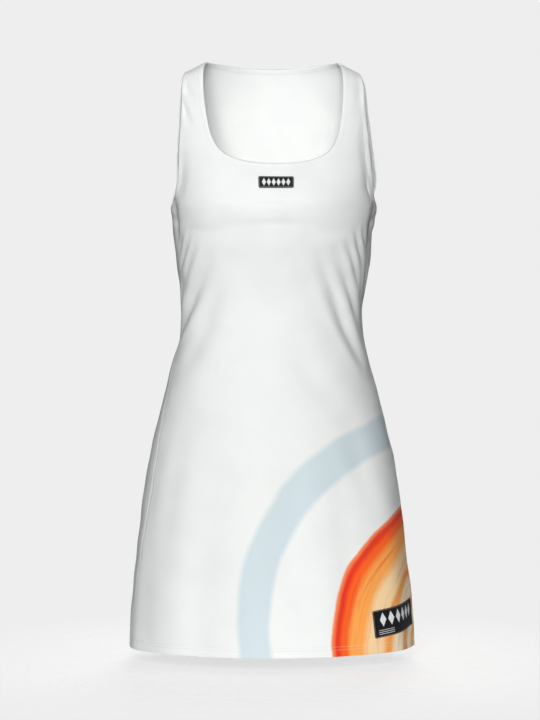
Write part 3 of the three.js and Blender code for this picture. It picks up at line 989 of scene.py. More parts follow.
@dataclass(frozen=True)
class PatchTape(Finish):
    """Dense dark tape with a thin pale inset line and a row of pale diamonds, in mm from its middle."""

    width: float
    height: float
    diamond: float
    pitch: float
    count: int
    row_height: float = 0.0
    bars: int = 0
    diamond_squat: float = 0.56
    inset: float = 1.1
    line_half: float = 0.22
    line_tone: float = 0.35
    bar_low: float = 4.2
    bar_gap: float = 2.6
    bar_half: float = 0.34
    bar_place: float = 0.3
    bar_reach: float = 0.13
    bar_margin: float = 0.4
    warp: float = 0.5
    weft: float = 0.36
    weave_height: float = 3.0
    mark_height: float = 0.6
    dark: Colour = linear(17, 18, 21)
    pale: Colour = linear(240, 241, 243)

    def surface(self, nodes: Nodes) -> dict[str, object]:
        """The inputs of the surface's shader, built in a tree.

        Args:
            nodes: the tree to build in.

        Returns:
            The inputs by name.
        """
        uv = nodes.on_cloth()
        x, y = nodes.split(uv)
        marks = nodes.math("MAXIMUM", self.diamonds(nodes, x, y), self.inset_line(nodes, x, y))
        if self.bars:
            marks = nodes.math("MAXIMUM", marks, self.thin_bars(nodes, x, y))
        noise = nodes.noise(uv, 3.0, 3.0)
        worn = nodes.math("MULTIPLY", marks, nodes.scaled(noise, 0.3, 0.75))
        ways = (nodes.math("DIVIDE", x, self.warp), nodes.math("DIVIDE", y, self.weft))
        weave = nodes.math("MULTIPLY", *(nodes.math("PINGPONG", way, 0.5) for way in ways))
        height = nodes.math("ADD", nodes.math("MULTIPLY", weave, self.weave_height),
                            nodes.math("MULTIPLY", marks, self.mark_height))
        return {
            "Base Color": nodes.mix(worn, self.dark, self.pale), "Roughness": nodes.scaled(noise, 0.2, 0.4),
            "Normal": nodes.bump(height, 0.5, 0.00015), "Specular IOR Level": 0.3, "Sheen Weight": 0.03,
        }

    def diamonds(self, nodes: Nodes, x: Socket, y: Socket) -> Socket:
        """Where the row of diamonds is.

        Args:
            nodes: the tree to build in.
            x, y: the place on the tape, in mm.

        Returns:
            1 there, 0 elsewhere.
        """
        beside = nodes.math("PINGPONG", nodes.math("ADD", x, REPEATS_BEFORE * self.pitch), 0.5 * self.pitch)
        from_middle = nodes.math("SUBTRACT", 0.5 * self.pitch, beside)
        over = nodes.math("ABSOLUTE", nodes.math("SUBTRACT", y, self.row_height))
        size = nodes.math("ADD", from_middle, nodes.math("MULTIPLY", over, self.diamond_squat))
        inside = nodes.math("LESS_THAN", size, self.diamond)
        within = nodes.math("LESS_THAN", nodes.math("ABSOLUTE", x), 0.5 * self.pitch * self.count)
        return nodes.math("MULTIPLY", inside, within)

    def inset_line(self, nodes: Nodes, x: Socket, y: Socket) -> Socket:
        """Where the thin line inside the edge is.

        Args:
            nodes: the tree to build in.
            x, y: the place on the tape, in mm.

        Returns:
            Its tone there, 0 elsewhere.
        """
        to_side = nodes.math("SUBTRACT", self.width / 2 - self.inset, nodes.math("ABSOLUTE", x))
        to_top = nodes.math("SUBTRACT", self.height / 2 - self.inset, nodes.math("ABSOLUTE", y))
        nearest = nodes.math("ABSOLUTE", nodes.math("MINIMUM", to_side, to_top))
        return nodes.math("MULTIPLY", nodes.math("LESS_THAN", nearest, self.line_half), self.line_tone)

    def thin_bars(self, nodes: Nodes, x: Socket, y: Socket) -> Socket:
        """Where the short pale bars under the diamonds are.

        Args:
            nodes: the tree to build in.
            x, y: the place on the tape, in mm.

        Returns:
            1 there, 0 elsewhere.
        """
        gap, low = self.bar_gap, self.bar_low - self.height / 2
        past = nodes.math("PINGPONG", nodes.math("SUBTRACT", y, low - REPEATS_BEFORE * gap), gap / 2)
        stripe = nodes.math("LESS_THAN", past, self.bar_half)
        under = nodes.math("LESS_THAN", y, low + gap * (self.bars - self.bar_margin))
        above = nodes.math("GREATER_THAN", y, low - gap * self.bar_margin)
        beside = nodes.math("ABSOLUTE", nodes.math("ADD", x, self.width * self.bar_place))
        left = nodes.math("LESS_THAN", beside, self.width * self.bar_reach)
        within = nodes.math("MULTIPLY", under, above)
        return nodes.math("MULTIPLY", nodes.math("MULTIPLY", stripe, left), within)


@dataclass(frozen=True)
class Thread(Finish):
    """Fine polyester sewing thread."""

    colour: Colour
    dimness: float = 0.86
    twist_scale: float = 1200.0

    def surface(self, nodes: Nodes) -> dict[str, object]:
        """The inputs of the surface's shader, built in a tree.

        Args:
            nodes: the tree to build in.

        Returns:
            The inputs by name.
        """
        noise = nodes.noise(nodes.place(), self.twist_scale, 2.0)
        dim = (*(self.dimness * c for c in self.colour[:3]), 1.0)
        return {
            "Base Color": nodes.ramp(noise, ((0.35, dim), (0.65, self.colour))).outputs["Color"],
            "Roughness": 0.45, "Normal": nodes.bump(noise, 0.4, 0.0001), "Sheen Weight": 0.2,
        }


def dress_piece(piece: Piece, finish: Material, slot: str, *replaced: str) -> Piece:
    """Gives a piece its finish and ties it to the frame.

    Args:
        piece: the finished piece.
        finish: its material.
        slot: not used.
        replaced: the solids that it stands for.

    Returns:
        The piece.
    """
    piece.data.materials.clear()
    piece.data.materials.append(finish)
    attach(piece, "root")
    if replaced:
        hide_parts(*replaced)
    LOG.info("%s: %d faces", piece.name, len(piece.data.polygons))
    return piece


@dataclass(frozen=True)
class Cut:
    """A panel laid flat: its greatest width and length in metres, and its area in square metres."""

    width: float
    length: float
    area: float


@dataclass
class Panel:
    """What the front and back panels share: sizes of the cloth, its hem and its seams."""

    form: DressForm
    lines: CutLines
    cloth_wall: float = 1.1
    hem_wall: float = 2.3
    hem_depth: float = 13.0
    hem_fade: tuple[float, float] = (-1.0, 0.5)
    cut_in: float = 4.5
    columns: int = 104
    strap_share: float = 5 / 28
    edge_reach: float = 0.5
    skirt_step: float = 4.2
    neck_corner: float = 0.5
    armhole_corner: float = 0.55
    yoke_rows: int = 34
    strap_rows: int = 40
    seam_dip: float = 0.55
    seam_half: float = 1.3
    seam_end: float = 3.0
    stitch_dip: float = 0.22
    stitch_half: float = 0.9
    hem_round: float = 0.35
    hem_round_half: float = 0.8
    arc_centre_drop: float = 6.0
    hem_rows: tuple[float, ...] = (0, 0.5, 1.4, 3, 5.2, 7, 8.2, 9, 9.8, 10.8, 12, 13, 14, 15.4, 18)
    edge_steps: tuple[float, ...] = (0, 0.0012, 0.0028, 0.005, 0.0085)

    def steps_across(self) -> Array:
        """Fractions of a row, close together at the seams, with one at each strap's inner edge.

        Returns:
            The fractions.
        """
        strap_count = int(self.columns * self.strap_share)
        near = np.array(self.edge_steps)
        strap = np.concatenate((near, np.linspace(near[-1], self.strap_share, strap_count + 1)[1:]))
        middle = np.linspace(self.strap_share, 1 - self.strap_share, self.columns - 2 * strap_count + 1)
        return np.concatenate((strap, middle[1:-1], 1 - strap[::-1]))

    def skirt(self, share: Array, top: float, behind: bool) -> Places:
        """Places of the rows from seam to seam, close together at the hem's stitches.

        Args:
            share: fractions of a row.
            top: the underarm's height in mm.
            behind: whether on the back.

        Returns:
            The places.
        """
        low = HEM + np.array(self.hem_rows)
        count = int((top - low[-1]) / self.skirt_step)
        at = np.concatenate((low, np.linspace(low[-1], top, count + 1)[1:]))[:, None]
        left, right = (side.value * self.form.seams.read(side.name.lower(), at) for side in Side)
        first, last = (left, 360 + right) if behind else (right, left)
        return first + (last - first) * share, np.repeat(at, len(share), axis=1)

    def between_edges(self, low: Places, high: Places, sides: tuple[Edge, Edge], share: Array,
                      up: Array) -> Places:
        """Places that run straight up from a low edge to a high one, bending with the side edges near them.

        Args:
            low, high: the two edges' places.
            sides: the first and the last side's edge, from low to high.
            share: fractions of the way from the first side to the last.
            up: fractions of the way up, as a column.

        Returns:
            The places.
        """
        result = []
        for axis in range(2):
            rows = low[axis] * (1 - up) + high[axis] * up
            for edge, end, away in ((sides[0], 0, share), (sides[1], -1, 1 - share)):
                near = np.maximum(0.0, 1 - away / self.edge_reach) ** 2
                straight = low[axis][end] * (1 - up) + high[axis][end] * up
                rows = rows + near * (edge(up[:, 0])[axis][:, None] - straight)
            result.append(rows)
        return result[0], result[1]

    def walls(self, turn: Array, at: Array, from_seam: Array) -> tuple[Array, Array, Array]:
        """The outer and inner grids of a panel.

        Args:
            turn, at: the places, not a number where the panel has no cloth.
            from_seam: distance to the nearest side or shoulder seam, in mm.

        Returns:
            The outer grid, the inner grid, and the middle one.
        """
        middle, normal = self.form.skin(turn, at)
        above_hem = at - HEM
        out = self.cloth_wall / 2 - bell(from_seam, self.seam_dip, self.seam_half)
        out = out - bell(above_hem, self.hem_round, self.hem_round_half)
        for row in HEM_STITCHES:
            out = out - bell(above_hem - row, self.stitch_dip, self.stitch_half)
        turned = 1.0 - smoothstep(above_hem - self.hem_depth, *self.hem_fade)
        into = self.cloth_wall / 2 + (self.hem_wall - self.cloth_wall) * turned
        return middle + normal * out[..., None], middle - normal * into[..., None], middle

    def sew(self, name: str, share: Array, turn: Array, at: Array, top: float) -> tuple[Piece, Cut]:
        """The panel as a thin shell.

        Args:
            name: the object's name.
            share: fractions of a row.
            turn, at: the panel's places.
            top: the underarm's height in mm.

        Returns:
            The object and its cut.
        """
        width = (turn[:, -1:] - turn[:, :1]) * MM_PER_DEGREE
        to_side = np.minimum(share, 1 - share) * width + np.maximum(0, at - top) * self.seam_end
        outer, inner, middle = self.walls(turn, at, np.minimum(to_side, RIDGE - at))
        across, along = arc(middle, 1), arc(middle, 0)
        left_first = turn[0, 0] > 0
        to_front = -across if left_first else across[:, -1:] - across
        uv = np.stack((-to_front, along), axis=-1)
        rise = at - HEM + self.arc_centre_drop
        arcs = {"arc_mm": np.hypot(to_front, rise)[:, ::-1], "arc_turn": np.arctan2(rise, to_front)[:, ::-1]}
        piece = shell(name, outer[:, ::-1], inner[:, ::-1], uv[:, ::-1], arcs)
        a, b = middle[1:, 1:] - middle[:-1, :-1], middle[1:, :-1] - middle[:-1, 1:]
        area = float(np.nansum(np.linalg.norm(np.cross(a, b), axis=-1)) / 2 * MM * MM)
        return piece, Cut(float(across[:, -1].max() * MM), float(along[-1].max() * MM), area)


class FrontPanel(Panel):
    """The front, from the hem up to the straps, round a scooped neck."""

    def yoke_line(self, share: Array, cut: dict[Side, tuple[Edge, Edge]]) -> Places:
        """The line from armhole to armhole that dips along the neck.

        Args:
            share: fractions of a row.
            cut: each side's cut edges.

        Returns:
            The places.
        """
        turn, at = np.empty_like(share), np.empty_like(share)
        for side in Side:
            mine = share <= 0.5 if side is Side.RIGHT else share > 0.5
            near = np.where(share <= 0.5, share, 1 - share)[mine]
            armhole, neck = cut[side]
            corner = [np.array([p[0] for p in edge(np.array([t]))])
                      for edge, t in ((armhole, self.armhole_corner), (neck, self.neck_corner))]
            blend = np.clip(near / self.strap_share, 0, 1)
            along = self.neck_corner * np.clip((0.5 - near) / (0.5 - self.strap_share), 0, 1)
            on_neck = neck(along)
            for axis, line in enumerate((turn, at)):
                strap = corner[0][axis] + (corner[1][axis] - corner[0][axis]) * blend
                line[mine] = np.where(near < self.strap_share, strap, on_neck[axis])
        return turn, at

    def yoke(self, share: Array, underarm: Array, top: float, cut: dict[Side, tuple[Edge, Edge]]) -> Places:
        """Places between the underarm row and the yoke line, filled in from their four edges.

        Args:
            share: fractions of a row.
            underarm: the underarm row's angles.
            top: the underarm's height in mm.
            cut: each side's cut edges.

        Returns:
            The places.
        """
        up = np.linspace(0, 1, self.yoke_rows + 1)[1:, None]
        sides = tuple(lambda t, s=side: cut[s][0](self.armhole_corner * t)
                      for side in (Side.RIGHT, Side.LEFT))
        low = (underarm, np.full_like(share, top))
        return self.between_edges(low, self.yoke_line(share, cut), sides, share, up)

    def straps(self, share: Array, cut: dict[Side, tuple[Edge, Edge]]) -> Places:
        """Places of the two straps, not a number between them.

        Args:
            share: fractions of a row.
            cut: each side's cut edges.

        Returns:
            The places.
        """
        up = np.linspace(0, 1, self.strap_rows + 1)[1:]
        places = np.full((2, self.strap_rows, len(share)), np.nan)
        for side in Side:
            near = share if side is Side.RIGHT else 1 - share
            mine = near <= self.strap_share + 1e-9
            armhole, neck = cut[side]
            outside = armhole(self.armhole_corner + (1 - self.armhole_corner) * up)
            beside = neck(self.neck_corner + (1 - self.neck_corner) * up)
            blend = near[mine] / self.strap_share
            for axis, rows in enumerate(places):
                rows[:, mine] = outside[axis][:, None] * (1 - blend) + beside[axis][:, None] * blend
        turn, at = places
        at[-1] = np.where(np.isnan(at[-1]), np.nan, RIDGE)
        return turn, at

    def build(self) -> tuple[Piece, Cut]:
        """The panel as a thin shell, with its cut.

        Returns:
            The object and its cut.
        """
        share = self.steps_across()
        cut = {side: (
            lambda t, edge=self.lines.armhole(side, False): edge.inside(t, self.cut_in),
            lambda t, edge=self.lines.front_neck(side): edge.inside(t, self.cut_in),
        ) for side in Side}
        top = float(cut[Side.LEFT][0](np.array([0.0]))[1][0])
        skirt = self.skirt(share, top, False)
        parts = (skirt, self.yoke(share, skirt[0][-1], top, cut), self.straps(share, cut))
        turn, at = (np.concatenate(rows) for rows in zip(*parts))
        return self.sew("front_jersey", share, turn, at, top)


class BackPanel(Panel):
    """The back, from the hem up to a high neck and the straps."""

    def top_edge(self, share: Array, cut: dict[Side, Edge]) -> Places:
        """The shoulder seams and the back neck's cut edge, from the wearer's left to right.

        Args:
            share: fractions of a row.
            cut: each side's cut edges.

        Returns:
            The places.
        """
        turn, at = np.empty_like(share), np.empty_like(share)
        along = np.clip((share - self.strap_share) / (1 - 2 * self.strap_share), 0, 1)
        neck = self.lines.back_neck().inside(along, self.cut_in)
        for side in Side:
            near = share if side is Side.LEFT else 1 - share
            mine = near <= 0.5
            end = cut[side](np.array([1.0]))[0][0]
            corner = neck[0][0 if side is Side.LEFT else -1]
            blend = np.clip(near / self.strap_share, 0, 1)
            strap = near < self.strap_share
            turn[mine] = np.where(strap, end + (corner - end) * blend, neck[0])[mine]
            at[mine] = np.where(strap, RIDGE, neck[1])[mine]
        return turn, at

    def build(self) -> tuple[Piece, Cut]:
        """The panel as a thin shell, with its cut.

        Returns:
            The object and its cut.
        """
        share = self.steps_across()
        cut = {side: lambda t, edge=self.lines.armhole(side, True): edge.inside(t, self.cut_in)
               for side in Side}
        top = float(cut[Side.LEFT](np.array([0.0]))[1][0])
        turn, at = self.skirt(share, top, True)
        up = np.linspace(0, 1, self.yoke_rows + self.strap_rows + 1)[1:, None]
        low = (turn[-1], np.full_like(share, top))
        sides = (cut[Side.LEFT], cut[Side.RIGHT])
        upper = self.between_edges(low, self.top_edge(share, cut), sides, share, up)
        turn = np.concatenate((turn, upper[0]))
        at = np.concatenate((at, np.minimum(upper[1], RIDGE)))
        return self.sew("back_jersey", share, turn, at, top)


@dataclass
class Binding:
    """A folded strip of the same jersey that wraps a raw edge."""

    form: DressForm
    lines: CutLines
    width: float = 8.0
    plump: float = 0.9
    taper: float = 0.25
    edge: float = 0.5
    steps: int = 110
    section: int = 9

    def profile(self) -> Places:
        """The folded strip's section.

        Returns:
            Distances from the finished edge, and heights off the cloth's middle, once round.
        """
        s = np.linspace(0, 1, self.section)
        swell = self.plump * (1 - np.abs(2 * s - 1) ** 4) ** 0.5 * (1 - self.taper * s)
        height = np.maximum(swell, self.edge * s)
        return np.concatenate((s, s[-2:0:-1])) * self.width, np.concatenate((height, -height[-2:0:-1]))

    def ring(self, name: str, edges: list[tuple[CutEdge, Array]], flip: bool) -> Piece:
        """A closed binding along several joined edges.

        Args:
            name: the object's name.
            edges: each edge with its steps.
            flip: whether the steps run so that the faces would point inwards.

        Returns:
            The object.
        """
        across, off = self.profile()
        places = [edge.inside(steps[:, None], across[None, :]) for edge, steps in edges]
        turn, at = (np.concatenate(rows) for rows in zip(*places))
        middle, normal = self.form.skin(turn, at)
        points = middle + normal * off[None, :, None]
        along = arc(middle[:, :1], 0)
        uv = np.stack(np.broadcast_arrays(along, across * np.where(off < 0, -1.0, 1.0)), axis=-1)
        return tube(name, points[::-1], uv[::-1]) if flip else tube(name, points, uv)

    def neck(self) -> Piece:
        """The neck's binding, from the front's middle up the left, across the nape and back.

        Returns:
            The object.
        """
        half = np.linspace(0, 1, self.steps)
        return self.ring("neck_binding_jersey", [
            (self.lines.front_neck(Side.LEFT), half),
            (self.lines.back_neck(), half[1:-1]),
            (self.lines.front_neck(Side.RIGHT), half[1:][::-1]),
        ], True)

    def armhole(self, side: Side) -> Piece:
        """An armhole's binding, from the underarm up the front and down the back.

        Args:
            side: the wearer's side.

        Returns:
            The object.
        """
        half = np.linspace(0, 1, self.steps)
        return self.ring(f"armhole_binding_jersey_{side.name.lower()}", [
            (self.lines.armhole(side, False), half),
            (self.lines.armhole(side, True), half[1:-1][::-1]),
        ], side is Side.RIGHT)


@dataclass
class Patch:
    """A flat sewn patch on the front."""

    form: DressForm
    name: str
    turn: float
    at: float
    width: float
    height: float
    tilt: float = 0.0
    wall: float = 0.9
    above: float = 0.75
    corner: float = 1.6
    step: float = 1.6
    fewest_rows: int = 8
    edge_round: float = 0.4
    edge_half: float = 0.5
    rim: tuple[float, ...] = (0, 0.004, 0.012)
    stitch_points: int = 160

    def place(self, x: Array, y: Array) -> Places:
        """Places on the cloth from distances along the patch's own sides.

        Args:
            x, y: distances from its middle, in mm.

        Returns:
            The places.
        """
        s, c = math.sin(math.radians(self.tilt)), math.cos(math.radians(self.tilt))
        aside, rise = c * x - s * y, s * x + c * y
        turn, at = np.full_like(x, self.turn), np.full_like(x, self.at)
        for _ in range(2):
            around = self.form.directions(self.form.plain, turn, at)[0]
            around /= np.linalg.norm(around, axis=-1, keepdims=True)
            turn, at = self.form.slide(turn, at, around, aside / 2)
        return turn, self.at + rise

    def build(self) -> Piece:
        """The patch as a thin slab with rounded corners and a softened edge.

        Returns:
            The object.
        """
        s = 2 * graded(int(self.width / self.step), self.rim) - 1
        t = 2 * graded(max(self.fewest_rows, int(self.height / self.step)), self.rim) - 1
        y = np.repeat(t[:, None] * self.height / 2, len(s), axis=1)
        past = np.maximum(0, np.abs(y) - (self.height / 2 - self.corner))
        half = self.width / 2 - self.corner + np.sqrt(np.maximum(0, self.corner**2 - past**2))
        x = s * half
        middle, normal = self.form.skin(*self.place(x, y))
        from_rim = np.minimum(half - np.abs(x), self.height / 2 - np.abs(y))
        top = self.above + self.wall - bell(from_rim, self.edge_round, self.edge_half)
        outer, inner = middle + normal * top[..., None], middle + normal * self.above
        uv = np.stack((x, y), axis=-1)
        return shell(self.name, outer[:, ::-1], inner[:, ::-1], uv[:, ::-1], {})

    def stitch_path(self, inset: float) -> Array:
        """A closed line of points in mm, inside the patch's edge.

        Args:
            inset: how far inside, in mm.

        Returns:
            The points.
        """
        a, b = self.width / 2 - inset, self.height / 2 - inset
        corners = np.array(((-a, -b), (a, -b), (a, b), (-a, b), (-a, -b)))
        length = np.concatenate(([0], np.cumsum(np.linalg.norm(np.diff(corners, axis=0), axis=1))))
        t = np.linspace(0, length[-1], self.stitch_points)
        return self.form.off_cloth(*self.place(*(np.interp(t, length, way) for way in corners.T)),
                                   self.above + self.wall)


@dataclass
class Stitching:
    """Rows of small thread stitches that follow lines on the cloth."""

    pitch: float = 3.1
    length: float = 2.3
    thickness: float = 0.42
    seed: int = 7
    shortest: float = 0.88
    longest: float = 1.06

    def tree(self, finish: Material) -> bpy.types.NodeTree:
        """The node tree that lays stitches along a line of edges.

        Args:
            finish: the thread's material.

        Returns:
            The tree, with named inputs for pitch, length, thickness and seed.
        """
        tree = bpy.data.node_groups.new("stitch_rows", "GeometryNodeTree")
        kinds = ("Geometry", "Float", "Float", "Float", "Int")
        for name, kind in zip(("Geometry", "Pitch", "Length", "Thickness", "Seed"), kinds):
            tree.interface.new_socket(name, in_out="INPUT", socket_type=f"NodeSocket{kind}")
        tree.interface.new_socket("Geometry", in_out="OUTPUT", socket_type="NodeSocketGeometry")
        nodes = Nodes(tree)
        given = nodes.add("NodeGroupInput").outputs
        line = nodes.add("GeometryNodeMeshToCurve", {"Mesh": given["Geometry"]})
        rows = nodes.add("GeometryNodeResampleCurve", {"Curve": line.outputs[0], "Length": given["Pitch"]},
                         mode="LENGTH")
        tangent = nodes.add("GeometryNodeInputTangent")
        turned = nodes.add("FunctionNodeAlignRotationToVector", {"Vector": tangent.outputs[0]}, axis="Z")
        jitter = nodes.add("FunctionNodeRandomValue", {"Seed": given["Seed"]}, data_type="FLOAT")
        jitter.inputs[2].default_value, jitter.inputs[3].default_value = self.shortest, self.longest
        size = nodes.add("ShaderNodeCombineXYZ", {
            "X": given["Thickness"], "Y": given["Thickness"],
            "Z": nodes.math("MULTIPLY", given["Length"], jitter.outputs[1]),
        })
        stitch = nodes.add("GeometryNodeMeshUVSphere", {"Segments": 6, "Rings": 5, "Radius": 0.5})
        laid = nodes.add("GeometryNodeInstanceOnPoints", {
            "Points": rows.outputs[0], "Instance": stitch.outputs["Mesh"],
            "Rotation": turned.outputs[0], "Scale": size.outputs[0],
        })
        real = nodes.add("GeometryNodeRealizeInstances", {"Geometry": laid.outputs[0]})
        smooth = nodes.add("GeometryNodeSetShadeSmooth", {"Geometry": real.outputs[0]})
        dressed = nodes.add("GeometryNodeSetMaterial", {"Geometry": smooth.outputs[0], "Material": finish})
        nodes.add("NodeGroupOutput", {"Geometry": dressed.outputs[0]})
        return tree

    def lay(self, name: str, paths: list[Array], finish: Material) -> Piece:
        """Stitches along several lines, as one plain mesh.

        Args:
            name: the object's name.
            paths: lines of points in mm.
            finish: the thread's material.

        Returns:
            The object.
        """
        points = np.concatenate(paths) * MM
        ends = np.cumsum([len(p) for p in paths])
        edges = [(i, i + 1) for i in range(len(points) - 1) if i + 1 not in ends]
        mesh = bpy.data.meshes.new(f"{name}_lines")
        mesh.from_pydata(points.tolist(), edges, [])
        lines = link(f"{name}_lines", mesh)
        tree = self.tree(finish)
        modifier = lines.modifiers.new("stitches", "NODES")
        modifier.node_group = tree
        sizes = {"Pitch": self.pitch * MM, "Length": self.length * MM, "Thickness": self.thickness * MM,
                 "Seed": self.seed}
        for item in tree.interface.items_tree:
            if item.in_out == "INPUT" and item.name in sizes:
                modifier[item.identifier] = sizes[item.name]
        bpy.context.view_layer.update()
        seen = lines.evaluated_get(bpy.context.evaluated_depsgraph_get())
        made = bpy.data.meshes.new_from_object(seen)
        made.name = name
        bpy.data.objects.remove(lines)
        return link(name, made)


@dataclass
class Dress:
    """The whole garment."""

    form: DressForm = field(default_factory=DressForm)
    binding_stitch_place: float = 6.9
    binding_stitch_off: float = 0.98
    hem_stitch_off: float = 0.42
    hem_points: int = 721
    edge_points: int = 240

    def __post_init__(self) -> None:
        """Makes the cut lines and the finishes."""
        self.lines = CutLines(self.form)
        self.jersey = Jersey("printed_jersey", SunriseArcs()).material()
        self.plain_jersey = Jersey("binding_jersey").material()
        self.thread = Thread("white_thread", linear(228, 230, 230)).material()
        self.dark_thread = Thread("dark_thread", linear(40, 41, 46)).material()

    def panels(self) -> list[tuple[Piece, Cut]]:
        """The front and back, each with its cut.

        Returns:
            The pairs.
        """
        front, front_cut = FrontPanel(self.form, self.lines).build()
        back, back_cut = BackPanel(self.form, self.lines).build()
        dress_piece(front, self.jersey, "white_jersey", "front_panel")
        dress_piece(back, self.jersey, "white_jersey", "back_panel")
        return [(front, front_cut), (back, back_cut)]

    def bindings(self) -> list[Piece]:
        """The neck's and both armholes' bindings.

        Returns:
            The objects.
        """
        strip = Binding(self.form, self.lines)
        found = [dress_piece(strip.neck(), self.plain_jersey, "white_binding", "neck_binding")]
        for side in Side:
            node = f"armhole_binding_{side.name.lower()}"
            found.append(dress_piece(strip.armhole(side), self.plain_jersey, "white_binding", node))
        return found

    def patches(self) -> list[Piece]:
        """The two patches and the stitches round them.

        Returns:
            The objects.
        """
        chest = Patch(self.form, "chest_patch_tape", 0, -167, 48, 16)
        hem = Patch(self.form, "hem_patch_tape", 59, -762, 101, 37, tilt=6)
        chest_finish = PatchTape("chest_tape", chest.width, chest.height, 2.9, 6.6, 6)
        hem_finish = PatchTape("hem_tape", hem.width, hem.height, 5.4, 14.0, 6, row_height=5.0, bars=3)
        found = [
            dress_piece(chest.build(), chest_finish.material(), "black_patch", "chest_patch"),
            dress_piece(hem.build(), hem_finish.material(), "black_patch", "hem_patch"),
        ]
        small = Stitching(pitch=1.9, length=1.4, thickness=0.28)
        rows = small.lay("patch_stitches", [chest.stitch_path(0.7), hem.stitch_path(0.9)], self.dark_thread)
        return [*found, dress_piece(rows, self.dark_thread, "black_patch")]

    def seams(self) -> list[Piece]:
        """The hem's twin rows and the rows beside the neck and armholes, outside and inside.

        Returns:
            The objects.
        """
        rows = Stitching()
        turn = np.linspace(0, 360, self.hem_points)
        hem_rows = [self.form.off_cloth(turn, np.full_like(turn, HEM + up), self.hem_stitch_off)
                    for up in HEM_STITCHES]
        hem = rows.lay("hem_stitches", hem_rows, self.thread)
        steps = np.linspace(0, 1, self.edge_points)
        paths = [self.form.off_cloth(*edge.inside(steps, self.binding_stitch_place), off)
                 for edge in self.lines.all() for off in (self.binding_stitch_off, -self.binding_stitch_off)]
        bound = rows.lay("binding_stitches", paths, self.thread)
        return [dress_piece(hem, self.thread, "white_jersey"),
                dress_piece(bound, self.thread, "white_binding")]

    def build(self) -> None:
        (front, front_cut), (back, back_cut) = self.panels()
        bindings = self.bindings()
        patches = self.patches()
        stitches = self.seams()
        LOG.info("cut: front %s, back %s", front_cut, back_cut)


@dataclass(frozen=True)
class Lamp:
    """A soft rectangular light: place, aim and size in metres, watts, colour, and spread in degrees."""

    name: str
    place: tuple[float, float, float]
    aim: tuple[float, float, float]
    size: tuple[float, float]
    power: float
    colour: tuple[float, float, float]
    spread: float = 180.0

    def hang(self) -> None:
        """Puts the lamp up. The camera doesn't see it, and a narrow one gives no gloss."""
        data = bpy.data.lights.new(self.name, "AREA")
        data.spread = math.radians(self.spread)
        data.shape = "RECTANGLE"
        data.size, data.size_y = self.size
        data.energy = self.power
        data.color = self.colour
        lamp = link(self.name, data)
        lamp.visible_camera = False
        lamp.visible_glossy = self.spread > NARROW
        lamp.location = self.place
        lamp.rotation_euler = (Vector(self.aim) - Vector(self.place)).to_track_quat("-Z", "Y").to_euler()


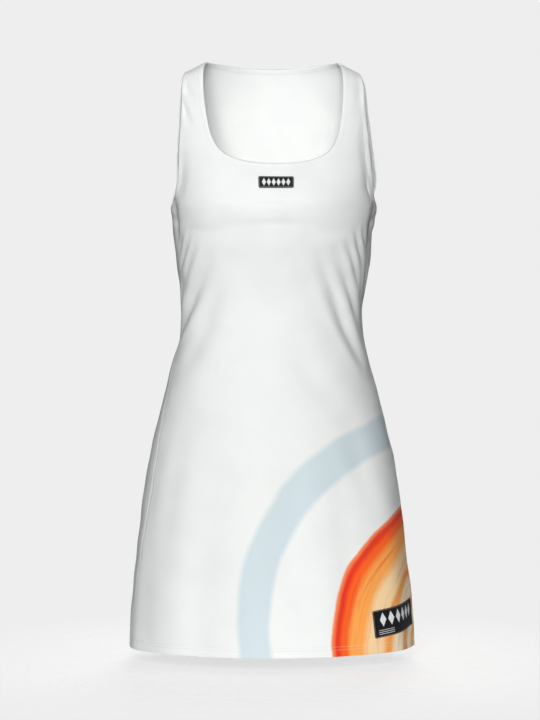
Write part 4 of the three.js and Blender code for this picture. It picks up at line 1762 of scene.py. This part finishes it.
@dataclass
class Studio:
    """The camera, the soft lights and the pale floor."""

    distance: float = 3.0
    azimuth: float = -2.5
    aim_x: float = -0.0035
    aim_z: float = -0.4075
    lens: float = 106.8
    backdrop: float = 0.855
    fill: float = 0.05
    floor_drop: float = 0.02
    floor_radius: float = 0.62
    floor_hole: float = 0.02
    floor_fade: float = 0.2
    floor_glow: float = 0.55
    floor_cover: float = 0.43
    lamps: tuple[Lamp, ...] = (
        Lamp("front_softbox", (-0.38, -3.2, 0.35), (0.0, 0.0, -0.3), (1.1, 1.1), 98.0, (0.99, 1.0, 0.98)),
        Lamp("left_softbox", (-2.3, -1.6, -0.1), (0.0, 0.0, -0.45), (1.0, 1.8), 3.6, (0.88, 0.92, 1.0)),
        Lamp("back_softbox", (0.5, 3.1, 0.6), (0.0, 0.0, -0.4), (1.8, 1.8), 90.0, (1.0, 1.0, 0.99)),
        Lamp("strap_softbox", (0.25, -1.7, 0.75), (0.02, 0.0, 0.08), (0.6, 0.3), 0.18, (1.0, 1.0, 1.0), 24.0),
        Lamp("hem_softbox", (1.9, -1.9, -0.55), (0.19, 0.0, -0.78), (0.4, 0.4), 0.11, (1.0, 1.0, 1.0), 14.0),
    )

    def camera(self) -> None:
        """A level camera a little to the wearer's right of the middle."""
        a = math.radians(self.azimuth)
        right = Vector((math.cos(a), math.sin(a), 0.0))
        back = Vector((math.sin(a), -math.cos(a), 0.0))
        data = bpy.data.cameras.new("camera")
        data.lens = self.lens
        data.sensor_width = 36.0
        eye = link("camera", data)
        eye.location = right * self.aim_x + back * self.distance + Vector((0.0, 0.0, self.aim_z))
        eye.rotation_euler = (-back).to_track_quat("-Z", "Y").to_euler()
        bpy.context.scene.camera = eye

    def world(self) -> None:
        """A pale backdrop for the camera, and a dimmer even fill for everything else."""
        world = bpy.data.worlds.new("studio")
        world.use_nodes = True
        bpy.context.scene.world = world
        nodes = Nodes(world.node_tree)
        seen = nodes.add("ShaderNodeBackground", {"Color": (1.0, 1.0, 1.0, 1.0), "Strength": self.backdrop})
        fill = nodes.add("ShaderNodeBackground", {"Color": (0.8, 0.84, 1.0, 1.0), "Strength": self.fill})
        to_camera = nodes.add("ShaderNodeLightPath").outputs["Is Camera Ray"]
        mixed = nodes.add("ShaderNodeMixShader", {0: to_camera, 1: fill.outputs[0], 2: seen.outputs[0]})
        nodes.add("ShaderNodeOutputWorld", {"Surface": mixed.outputs[0]})

    def floor_mesh(self, rings: int = 12, around: int = 64) -> Piece:
        """A flat disc of rings, its middle closed by one face.

        Args:
            rings: how many rings.
            around: how many corners a ring has.

        Returns:
            The object.
        """
        angles = np.linspace(0, 2 * np.pi, around, endpoint=False)
        radii = np.linspace(self.floor_hole, self.floor_radius, rings)
        low = np.full((rings, around), HEM * MM - self.floor_drop)
        points = np.stack((np.outer(radii, np.cos(angles)), np.outer(radii, np.sin(angles)), low), axis=-1)
        index = np.arange(rings * around).reshape(rings, around)
        quads = grid_quads(np.pad(index, ((0, 0), (0, 1)), mode="wrap"))
        return mesh_object("floor", points.reshape(-1, 3), [*quads.tolist(), list(range(around))])

    def floor(self) -> None:
        """A pale round floor that fades out into the backdrop."""
        floor = self.floor_mesh()
        material, nodes = start_material("pale_floor")
        place = nodes.place()
        x, y = (nodes.math("POWER", way, 2.0) for way in nodes.split(place))
        out = nodes.math("SQRT", nodes.math("ADD", x, y))
        reach = {"Value": out, 1: self.floor_fade, 2: self.floor_radius, 3: self.floor_cover, 4: 0.0}
        fade = nodes.add("ShaderNodeMapRange", reach, interpolation_type="SMOOTHSTEP").outputs[0]
        greys = ((0.3, linear(224, 224, 224)), (0.7, linear(228, 228, 228)))
        tone = nodes.ramp(nodes.noise(place, 60.0, 2.0), greys).outputs["Color"]
        paint = nodes.add("ShaderNodeBsdfPrincipled", {
            "Base Color": tone, "Roughness": 0.9,
            "Emission Color": tone, "Emission Strength": self.floor_glow,
        })
        clear = nodes.add("ShaderNodeBsdfTransparent")
        mixed = nodes.add("ShaderNodeMixShader", {0: fade, 1: clear.outputs[0], 2: paint.outputs[0]})
        nodes.add("ShaderNodeOutputMaterial", {"Surface": mixed.outputs[0]})
        floor.data.materials.append(material)

    def build(self) -> None:
        """Sets the whole studio up."""
        bpy.context.scene.view_settings.view_transform = "Standard"
        self.camera()
        self.world()
        for lamp in self.lamps:
            lamp.hang()
        self.floor()


def main() -> None:
    """Builds the studio and the dress."""
    logging.basicConfig(level=logging.INFO, format="%(name)s: %(message)s")
    Studio().build()
    Dress().build()


if __name__ == "__main__":
    main()
